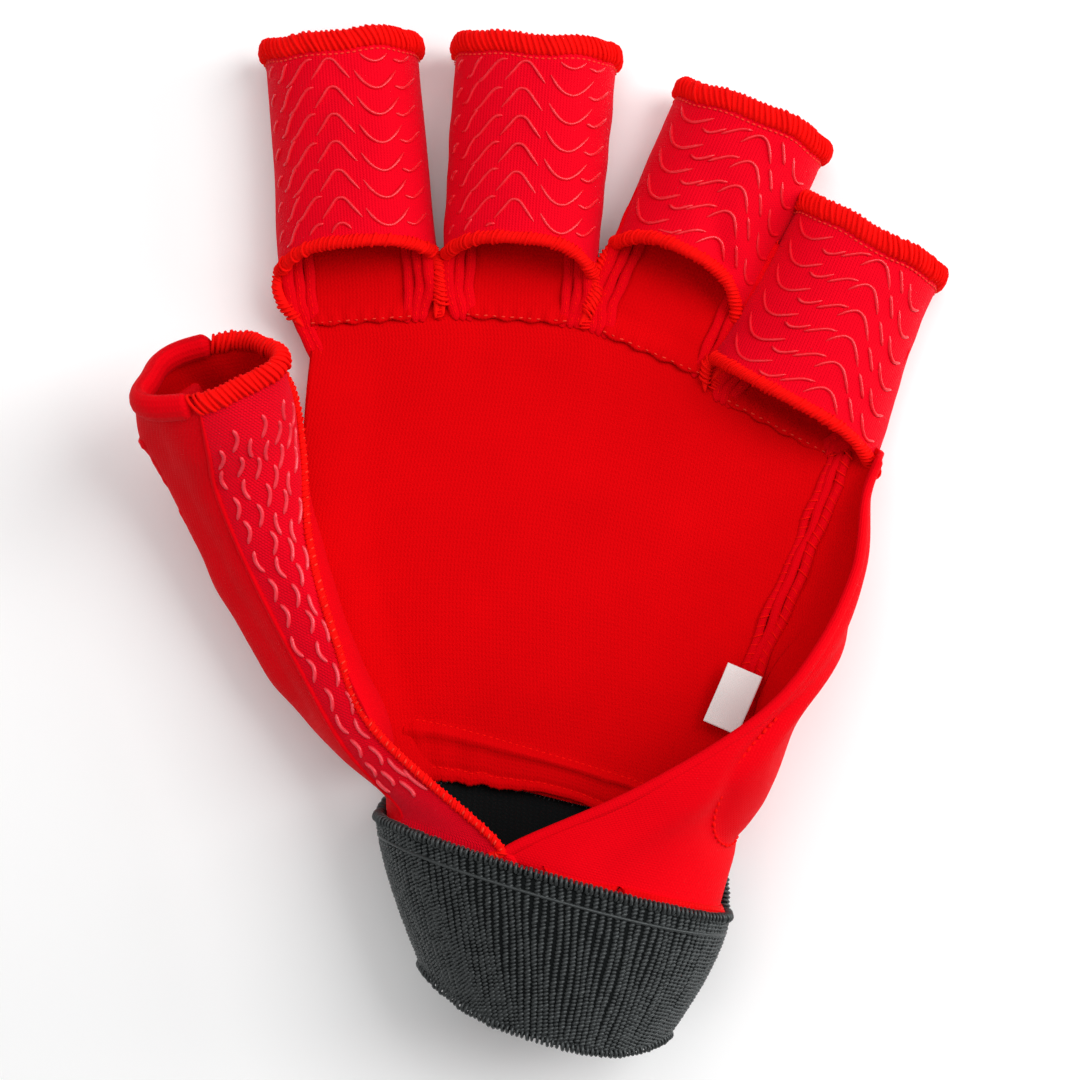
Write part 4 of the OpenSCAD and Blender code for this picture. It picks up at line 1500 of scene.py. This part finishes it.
class GLOVE_OT_side_seam(bpy.types.Operator):
    """Bunch the overlocked seam allowance inside the little finger's edge"""

    bl_idname = "glove.side_seam"
    bl_label = "Side seam"

    def execute(self, context):
        thread, cloth = finish_named("overlock_thread"), finish_named("shell_knit")
        t = np.linspace(0, 1, 110)
        path = spline(SIDE_SEAM_LINE, t)
        parts = []
        # Each fold's place beside the seam, half height, height above the table and half width
        for k, (off, high, up, wide) in enumerate(
            ((-2.6, 0.7, 7.7, 0.8), (-1.1, 0.9, 8.2, 1.0), (0.7, 1.0, 8.8, 1.0))
        ):
            sway = 0.25 * np.sin(t * 19 + k * 2) + 0.15 * np.sin(t * 41 + k)
            line = np.stack([path[:, 0] + off + sway, path[:, 1], up + 0.25 * np.sin(t * 13 + k)], 1)
            parts.append(roll("side_seam_fold", line, UP, [cloth], wide, high, sides=12, taper=0.04))
            if k != 1:
                parts.append(
                    wraps(
                        "side_seam_wraps", [(line[2:-2], UP)], thread,
                        pitch=1.9, wide=wide + 0.05, high=high + 0.05, thread=0.15,
                        tilt=0.5 - 0.5 * k, seed=51 + k,
                    )
                )
        seam = joined("side_seam_bunch", parts)
        settle(seam, "hand", nodes=["side_seam"])
        return {"FINISHED"}


# ---- Thumb ----

# Sections of the thumb from the cuff to its mouth: middle, half width and half depth
THUMB_SECTIONS = [
    ((-31, -36, 18.5), 9.5, 11.0),
    ((-40, -20, 17.2), 11.0, 9.8),
    ((-49, -2, 17.2), 12.3, 9.8),
    ((-55.5, 14, 21.5), 13.0, 10.0),
    ((-59, 22.5, 27.5), 13.4, 10.2),
    ((-61, 29.6, 33.0), 13.7, 10.5),
]
THUMB_PATH = np.array([s[0] for s in THUMB_SECTIONS], float)
# How wide each section is on the side of the palm, as a share of its half width
THUMB_INNER = (0.25, 0.36, 0.6, 0.85, 1.0, 1.0)


def mouth_wave(angles):
    """The mouth's edge is pulled unevenly by its overlock."""
    turn = np.radians(angles)
    return 0.8 * np.sin(3 * turn + 0.6) + 0.45 * np.sin(5 * turn)


def thumb_ring(k, angles, grow=0.0, shift=0.0):
    """Points round section k of the thumb: 0 is the index side, 90 the palm side."""
    last = len(THUMB_PATH) - 1
    way = unit(THUMB_PATH[min(k + 1, last)] - THUMB_PATH[max(k - 1, 0)])
    across = unit(np.array([way[1], -way[0], 0]))
    front = np.cross(across, way)
    centre, wide, high = THUMB_SECTIONS[k]
    turn = np.radians(angles)[:, None]
    wide = wide * np.where(np.cos(turn) > 0, THUMB_INNER[k], 1.0)
    grow = np.broadcast_to(np.asarray(grow, float), np.shape(angles))[:, None]
    return (
        np.array(centre)
        + (wide + grow) * np.cos(turn) * across
        + (high + grow) * np.sin(turn) * front
        + shift * way
    )


# Angles of the seams at the cuff and at each section: beside the palm, and on the outer side
THUMB_SEAM = [112, 112, 110, 84, 64, 44, 14, -10, -26]
THUMB_CREASE = [158, 158, 156, 134, 128, 124, 120, 108, 100]
CUFF_STATIONS = (0.14, 0.0, -0.12)
THUMB_ROWS = 170
# How far the thumb's bend reaches to either side of its hinge, in millimetres
BEND_REACH = 4.5


def thumb_grid(low, high, rows, columns, mouth=2.0, grow=0.0, bulge=0.0):
    """A panel of the thumb from inside the cuff to the mouth, between two lists of angles."""
    share = np.linspace(0, 1, columns)
    stations = []
    for k, (a, b) in enumerate(zip(low, high)):
        angles = lerp(a, b, share)
        if k < len(CUFF_STATIONS):
            stations.append(cuff_point(CUFF_STATIONS[k], angles, INSIDE_CUFF - grow))
            continue
        k -= len(CUFF_STATIONS)
        out = grow + bulge * smooth(angles, 150, 185) * (1 - smooth(angles, 255, 290)) * (k > 0)
        if k == len(THUMB_PATH) - 1:
            out, shift = grow + (out - grow) * 0.35 + mouth_wave(angles), mouth
        else:
            shift = 0.0
        stations.append(thumb_ring(k, angles, out, shift))
    return spline(np.array(stations), np.linspace(0, 1, rows))


class GLOVE_OT_thumb(bpy.types.Operator):
    """Sew the thumb: grip panel, back panel, mouth hem, edge seam and printed rubber dashes"""

    bl_idname = "glove.thumb"
    bl_label = "Thumb"

    def execute(self, context):
        place, _ = joint_line("thumb_flex")
        way = unit(THUMB_PATH[4] - THUMB_PATH[2])
        bend = ("hand", "thumb", (place - way * BEND_REACH) * MM, (place + way * BEND_REACH) * MM)
        lining = finish_named("lining_knit")
        grip = thumb_grid(THUMB_SEAM, THUMB_CREASE, THUMB_ROWS, 100, mouth=2.2)
        grip = ruffled(self.facing_out(grip), 0.12, 12, 61)
        cloths = [finish_named("grip_knit_slanted"), lining]
        panel = cloth_sheet("thumb_grip", grip, THUMB_GRIP_WALL, cloths)
        settle(panel, bend=bend, nodes=["thumb_tip_grip", "thumb_base_grip"])

        # The back panel turns all the way round, but ends soon where it lies in the cuff
        inner = [a + (100 if k < len(CUFF_STATIONS) else 360) for k, a in enumerate(THUMB_SEAM)]
        back = thumb_grid(THUMB_CREASE, inner, THUMB_ROWS, 150, mouth=1.2, bulge=2.9)
        back = ruffled(self.facing_out(back), 0.2, 16, 63)
        panel = cloth_sheet("thumb_back", back, THUMB_BACK_WALL, [finish_named("shell_knit"), lining])
        settle(panel, bend=bend, nodes=["thumb_tip_back", "thumb_base_back"])

        self.dashes(grip, bend)
        self.edges(bend)
        return {"FINISHED"}

    @staticmethod
    def facing_out(grid):
        """The grid, turned over if its normals look into the thumb."""
        k, middle = int(len(grid) * 0.75), grid.shape[1] // 2
        outward = grid[k, middle] - THUMB_PATH[3]
        return grid if float(grid_normals(grid)[k, middle] @ outward) > 0 else grid[:, ::-1]

    @staticmethod
    def dashes(grip, bend):
        """Short rubber dashes in offset rows, pointing along the thumb."""
        lines = []
        n, m = grip.shape[:2]
        run = run_along(grip[:, m // 2])
        widths = np.linalg.norm(np.diff(grip, axis=1), axis=2).sum(1)
        share = np.linspace(0, 1, n)
        rng = np.random.default_rng(71)
        row_pitch, column_pitch = 5.7, 2.85
        for row in range(24):
            for col in range(7):
                along = 17 + row * row_pitch + (row_pitch / 2 if col % 2 else 0)
                across = 2.0 + col * column_pitch + 0.45 * math.sin(row * 0.8)
                wide = float(np.interp(along, run, widths))
                if along > run[-1] - 8 or across > wide - 1.6:
                    continue
                t = np.linspace(-0.5, 0.5, 15)
                turned = 1 if (row + col) % 3 else -0.7
                v = along + t * 4.5 + rng.normal(0, 0.3)
                u = across + turned * (0.75 * np.cos(t * HALF_TURN) + 0.5 * t) + rng.normal(0, 0.2)
                p, nrm = on_grid(grip, np.interp(v, run, share), u / wide)
                lines.append((p + nrm * 0.04, nrm))
        # The dashes' paler pink colour holds a painted highlight over the red of the print
        made = raised_lines("thumb_dashes", lines, 0.42 * MM, finish_named("pale_silicone"))
        settle(made, bend=bend)

    @staticmethod
    def edges(bend):
        """The mouth's hem, the overlocked edge beside the palm and the seam between the panels."""
        finishes = ("overlock_thread", "pale_thread", "shell_knit")
        thread, pale, cloth = (finish_named(name) for name in finishes)
        last = len(THUMB_PATH) - 1
        angles = np.linspace(-84, 276, 240)
        mouth = thumb_ring(last, angles, mouth_wave(angles) - 0.6, 1.6)
        centre = THUMB_PATH[last]
        out = unit(mouth - centre)
        front = angles < 104
        rim = roll("thumb_mouth_roll", mouth[front], out[front], [thread], 1.95, 1.26, taper=0.03)
        loops = wraps(
            "thumb_mouth_wraps", [(mouth[front], out[front])], thread,
            pitch=1.05, wide=2.15, high=1.45, thread=0.33, tilt=0.42, seed=81, jitter=0.09,
        )
        thick = roll("thumb_mouth_pad", mouth[~front], out[~front], [cloth], 2.6, 1.9, taper=0.04)
        hem = joined("thumb_mouth_edge", [rim, loops, thick])
        settle(hem, "thumb", nodes=["thumb_tip_hem"])

        # Overlocked edge beside the palm, with its ladder of pale stitches
        around = [a + 360 for a in THUMB_SEAM]
        near = [a + 1 for a in THUMB_SEAM]
        centre_line = thumb_grid(THUMB_SEAM, around, THUMB_ROWS, 9, mouth=1.5)[:, :8].mean(1)
        seam = thumb_grid(THUMB_SEAM, near, THUMB_ROWS, 3, mouth=1.5, grow=0.35)[14:-4, 0]
        out = unit(seam - centre_line[14:-4])
        out = unit(out + np.array([0, 0, 0.5]))
        path = evenly(seam, 220)
        ups = evenly(out, 220)
        body = roll("thumb_edge_roll", path, ups, [thread], 0.75, 0.5, taper=0.02)
        loops = wraps(
            "thumb_edge_wraps", [(path[2:-2], ups[2:-2])], thread,
            pitch=1.0, wide=0.9, high=0.64, thread=0.17, tilt=0.35, seed=83,
        )
        ladder = stitches(
            "thumb_edge_ladder", [(path + ups * 0.6, ups)], pale,
            pitch=1.6, length=0.36, width=0.95, height=0.24, tilt=0.3, seed=85, jitter=0.2,
        )
        edge = joined("thumb_edge", [body, loops, ladder])
        settle(edge, bend=bend, nodes=["thumb_edge_seam"])

        # Plain seam between the grip panel and the back panel
        beyond = [a + 1 for a in THUMB_CREASE]
        crease = thumb_grid(THUMB_CREASE, beyond, THUMB_ROWS, 3, mouth=1.2, grow=0.02)[:, 0]
        outs = unit(crease - centre_line)
        path, outs = evenly(crease[6:], 160), evenly(outs[6:], 160)
        line = raised_lines("thumb_panel_seam", [(path, outs)], 0.5 * MM, cloth)
        settle(line, bend=bend)


# ---- Cuff, facing and label ----


class GLOVE_OT_cuff(bpy.types.Operator):
    """Knit the elastic cuff: front and back, ribs of bumps, picot edge and stitched line"""

    bl_idname = "glove.cuff"
    bl_label = "Cuff"

    def execute(self, context):
        ground, yarn = finish_named("elastic_ground"), finish_named("elastic_yarn")
        s = sizes()
        for name, low, high, node in (
            ("cuff_front_knit", 188.3, -8.3, "cuff_front"),
            ("cuff_back_knit", 351.7, 188.3, "cuff_back"),
        ):
            angles = np.linspace(low, high, 120)
            start = back_reach(angles) if node == "cuff_back" else np.zeros(len(angles))
            share = np.linspace(1.0, 0, 60)[:, None]
            end = 1.04 - 0.16 * np.cos(np.radians(angles)) ** 4
            grid = cuff_point(lerp(start[None], end[None], share), angles[None], 0.25)
            nrm = grid_normals(grid)
            centre = CUFF_MIDDLE + CUFF_RUN * 0.5
            if float(nrm[30, 60] @ (grid[30, 60] - centre)) < 0:
                grid = grid[:, ::-1]
            wall = cloth_sheet(name, grid, CUFF_WALL, [ground])
            settle(wall, "hand", nodes=[node])
            # Columns of stacked knit bumps
            lines = []
            ring = np.linalg.norm(np.diff(grid[40], axis=0), axis=1).sum()
            columns = int(ring / (s.knit_column / MM))
            rng = np.random.default_rng(91)
            for k in range(columns + 1):
                b = (k + 0.5) / (columns + 1)
                a = np.linspace(0.004 + 0.012 * (k % 2), 0.995, 40)
                sway = 0.002 * np.sin(a * 9 + k * 0.9) + rng.normal(0, 0.0008)
                p, o = on_grid(grid, a, np.full(40, b) + sway)
                lines.append((p + o * 0.08, o))
            bumps = stitches(
                name + "_bumps", lines, yarn,
                pitch=s.knit_row / MM, length=0.78, width=1.42, height=0.8, tilt=0.42,
                seed=93, jitter=0.2, sides=6,
            )
            settle(bumps, "hand")
            # Picot edges and the line of stitches below the front edge
            around = np.linspace(0, 1, 240)
            rows = [on_grid(grid, np.full(240, at), around) for at in (0.997, 0.004)]
            edge = wraps(
                name + "_picot", rows, yarn, pitch=0.95, wide=0.75, high=0.8, thread=0.3, tilt=0.2, seed=95
            )
            line, line_out = on_grid(grid, np.full(240, 1 - 3.8 / 30), around)
            groove = raised_lines(name + "_line", [(line + line_out * 0.3, line_out)], 0.3 * MM, yarn)
            trim = joined(name + "_edges", [edge, groove])
            settle(trim, "hand")
        return {"FINISHED"}


class GLOVE_OT_wrist_facing(bpy.types.Operator):
    """Turn the facing strip along the lower edge of the lining"""

    bl_idname = "glove.wrist_facing"
    bl_label = "Wrist facing"

    def execute(self, context):
        angles = np.linspace(219, 306, 120)
        share = np.linspace(0, 1, 24)[:, None]
        wide = lerp(12.5, 4.5, np.clip((angles - 226) / 80, 0, 1))
        rng = np.random.default_rng(105)
        fray = np.convolve(rng.normal(0, 1, 126), np.ones(7) / 7, "valid")
        low = wrist_edge(angles, 0.2)
        low[:, 1] += 0.9 * fray - 0.3
        high = wrist_edge(angles, 0.8)
        high = high + np.stack([np.zeros(120), wide], 1)
        flat = lerp(low[None], high[None], share[..., None])
        z = LINING_TOP + 0.75 + 0.2 * np.sin(share * HALF_TURN) + 0.12 * np.sin(angles * 0.5)[None]
        # A folded ridge and a stitched groove along each of its edges
        ridges = ((0.9, 0.8, 0.012), (-0.45, 0.95, 0.002), (0.35, 0.1, 0.01), (-0.3, 0.24, 0.002))
        for height, at, spread in ridges:
            z = z + height * np.exp(-((share - at) ** 2) / spread)
        grid = np.concatenate([flat, z[..., None]], -1)
        strip = cloth_sheet("facing_strip", grid, 0.6, [finish_named("lining_knit")])
        settle(strip, "hand", nodes=["wrist_facing"])
        rows = []
        for at in (0.95, 0.22):
            p, o = on_grid(grid, np.full(120, at), np.linspace(0, 1, 120))
            rows.append((p + [0, 0, 0.08], o))
        lower = stitches(
            "facing_stitches", rows, finish_named("overlock_thread"),
            pitch=1.35, length=0.9, width=0.3, height=0.25, seed=101,
        )
        settle(lower, "hand")
        return {"FINISHED"}


class GLOVE_OT_label(bpy.types.Operator):
    """Fold the blank care label out of the side seam"""

    bl_idname = "glove.label"
    bl_label = "Care label"

    def execute(self, context):
        low, high = (np.array(v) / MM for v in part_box("care_label"))
        middle = (low + high) / 2
        lean = math.radians(-23)
        right = np.array([math.cos(lean), math.sin(lean)])
        ahead = np.array([-right[1], right[0]])
        u = np.linspace(-3.6, 3.6, 24)[None]
        v = np.linspace(-6.2, 6.2, 36)[:, None]
        flat = middle[:2] + u[..., None] * right + v[..., None] * ahead
        z = high[2] + 2.0 + 0.35 * np.sin((v + 2) * 0.35) + 0.1 * u
        grid = np.concatenate([flat, z[..., None]], -1)
        label = cloth_sheet("care_label_tape", grid, 0.3, [finish_named("label_satin")])
        settle(label, "hand", nodes=["care_label"])
        return {"FINISHED"}


# ---- Stage ----


class GLOVE_OT_stage(bpy.types.Operator):
    """Set the floor, the soft lights and the camera above the palm"""

    bl_idname = "glove.stage"
    bl_label = "Stage"

    def execute(self, context):
        scene = bpy.context.scene
        scene.view_settings.view_transform = "Standard"
        look = context.scene.glove_stage
        world = bpy.data.worlds.new("studio")
        world.use_nodes = True
        world.node_tree.nodes["Background"].inputs[0].default_value = (1, 1, 1, 1)
        world.node_tree.nodes["Background"].inputs[1].default_value = look.ambient
        scene.world = world
        mesh = bpy.data.meshes.new("studio_floor")
        bm = bmesh.new()
        bmesh.ops.create_grid(bm, x_segments=24, y_segments=24, size=1.5)
        bm.to_mesh(mesh)
        bm.free()
        mesh.materials.append(floor_material("studio_paper", colours().floor[:3]))
        add_object("studio_floor", mesh)
        middle = Vector((0, 0, 0.01))
        for name, place, size, energy in (
            ("key_light", (0.42, 0.22, 0.62), 0.45, look.key_power),
            ("top_light", (-0.12, 0.42, 0.8), 0.7, look.top_power),
            ("fill_light", (-0.6, -0.25, 0.7), 0.8, look.fill_power),
            ("side_light", (0.75, 0.12, 0.26), 0.4, look.side_power),
        ):
            lamp = bpy.data.lights.new(name, "AREA")
            lamp.shape = "SQUARE"
            lamp.size = size
            lamp.energy = energy
            obj = bpy.data.objects.new(name, lamp)
            scene.collection.objects.link(obj)
            obj.location = place
            obj.rotation_mode = "QUATERNION"
            obj.rotation_quaternion = (Vector(place) - middle).to_track_quat("Z", "Y")
        camera = bpy.data.cameras.new("palm_camera")
        camera.lens = 75
        camera.sensor_width = 36
        camera.clip_start, camera.clip_end = 0.02, 20
        obj = bpy.data.objects.new("palm_camera", camera)
        scene.collection.objects.link(obj)
        obj.location = (0, 0, 0.45)
        scene.camera = obj
        return {"FINISHED"}


# ---- Settings, panel and registration ----


def paint(name, description, default):
    return bpy.props.FloatVectorProperty(
        name=name, description=description, default=default, size=4, min=0, max=1, subtype="COLOR"
    )


def distance(name, description, default):
    return bpy.props.FloatProperty(
        name=name, description=description, default=default,
        min=0.00005, max=0.05, unit="LENGTH", precision=5,
    )


def power(name, description, default):
    return bpy.props.FloatProperty(
        name=name, description=description, default=default, min=0, unit="POWER"
    )


class GloveColours(bpy.types.PropertyGroup):
    grip: paint("Grip fabric", "Dye of the gripping fronts", (0.86, 0.001, 0.012, 1))
    lining: paint("Lining", "Dye of the palm lining", (0.72, 0.001, 0.003, 1))
    shell: paint("Shell", "Dye of the back shell and the side flap", (0.82, 0.001, 0.006, 1))
    thread: paint("Overlock thread", "Colour of the overlock thread", (0.95, 0.006, 0.005, 1))
    stitch: paint("Stitch thread", "Colour of the paler stitches", (0.92, 0.045, 0.025, 1))
    silicone: paint("Rubber print", "Colour of the printed rubber lines", (0.82, 0.004, 0.014, 1))
    # Red of the thumb's print, made paler pink as a painted highlight on the glossy dashes
    dashes: paint("Thumb print", "Colour of the printed dashes on the thumb", (0.88, 0.035, 0.055, 1))
    elastic: paint("Elastic", "Colour of the cuff's yarn", (0.012, 0.013, 0.014, 1))
    label: paint("Label", "Colour of the care label", (0.85, 0.82, 0.8, 1))
    floor: paint("Floor", "Colour of the studio paper", (0.96, 0.96, 0.96, 1))


class GloveSizes(bpy.types.PropertyGroup):
    grip_wall: distance("Grip wall", "Thickness of the gripping fronts", 0.001)
    wave_pitch: distance("Wave pitch", "Distance from one row of printed waves to the next", 0.0053)
    wave_width: distance("Wave width", "Width of a printed line", 0.0007)
    overlock_pitch: distance("Overlock pitch", "Distance between two loops of a tip hem", 0.0011)
    knit_column: distance("Knit column", "Width of a column of the cuff's knit", 0.00125)
    knit_row: distance("Knit row", "Height of one bump of the cuff's knit", 0.00072)


class GloveStage(bpy.types.PropertyGroup):
    key_power: power("Key", "Power of the key light", 3.6)
    top_power: power("Top", "Power of the top light", 2.6)
    fill_power: power("Fill", "Power of the fill light", 1.6)
    side_power: power("Side", "Power of the low side light", 2.8)
    ambient: bpy.props.FloatProperty(
        name="Ambient", description="Strength of the room's light", default=0.28, min=0
    )


STEPS = (
    GLOVE_OT_stage,
    GLOVE_OT_finger_grips,
    GLOVE_OT_finger_hems,
    GLOVE_OT_finger_backs,
    GLOVE_OT_hand_panels,
    GLOVE_OT_side_flap,
    GLOVE_OT_side_seam,
    GLOVE_OT_thumb,
    GLOVE_OT_cuff,
    GLOVE_OT_wrist_facing,
    GLOVE_OT_label,
    GLOVE_OT_foam_pads,
)


class GLOVE_PT_sidebar(bpy.types.Panel):
    """Buttons and sizes of the glove"""

    bl_label = "Glove"
    bl_idname = "GLOVE_PT_sidebar"
    bl_space_type = "VIEW_3D"
    bl_region_type = "UI"
    bl_category = "Glove"

    def draw(self, context):
        for group in (context.scene.glove_sizes, context.scene.glove_colours, context.scene.glove_stage):
            box = self.layout.box()
            for key in group.__annotations__:
                box.prop(group, key)
        for step in STEPS:
            self.layout.operator(step.bl_idname)


GROUPS = {"glove_colours": GloveColours, "glove_sizes": GloveSizes, "glove_stage": GloveStage}


def register():
    for cls in (*GROUPS.values(), *STEPS, GLOVE_PT_sidebar):
        bpy.utils.register_class(cls)
    for name, cls in GROUPS.items():
        setattr(bpy.types.Scene, name, bpy.props.PointerProperty(type=cls))


def unregister():
    for name in GROUPS:
        delattr(bpy.types.Scene, name)
    for cls in (GLOVE_PT_sidebar, *reversed(STEPS), *reversed(GROUPS.values())):
        bpy.utils.unregister_class(cls)


def main():
    register()
    for step in STEPS:
        family, name = step.bl_idname.split(".")
        getattr(getattr(bpy.ops, family), name)()


if __name__ == "__main__":
    main()
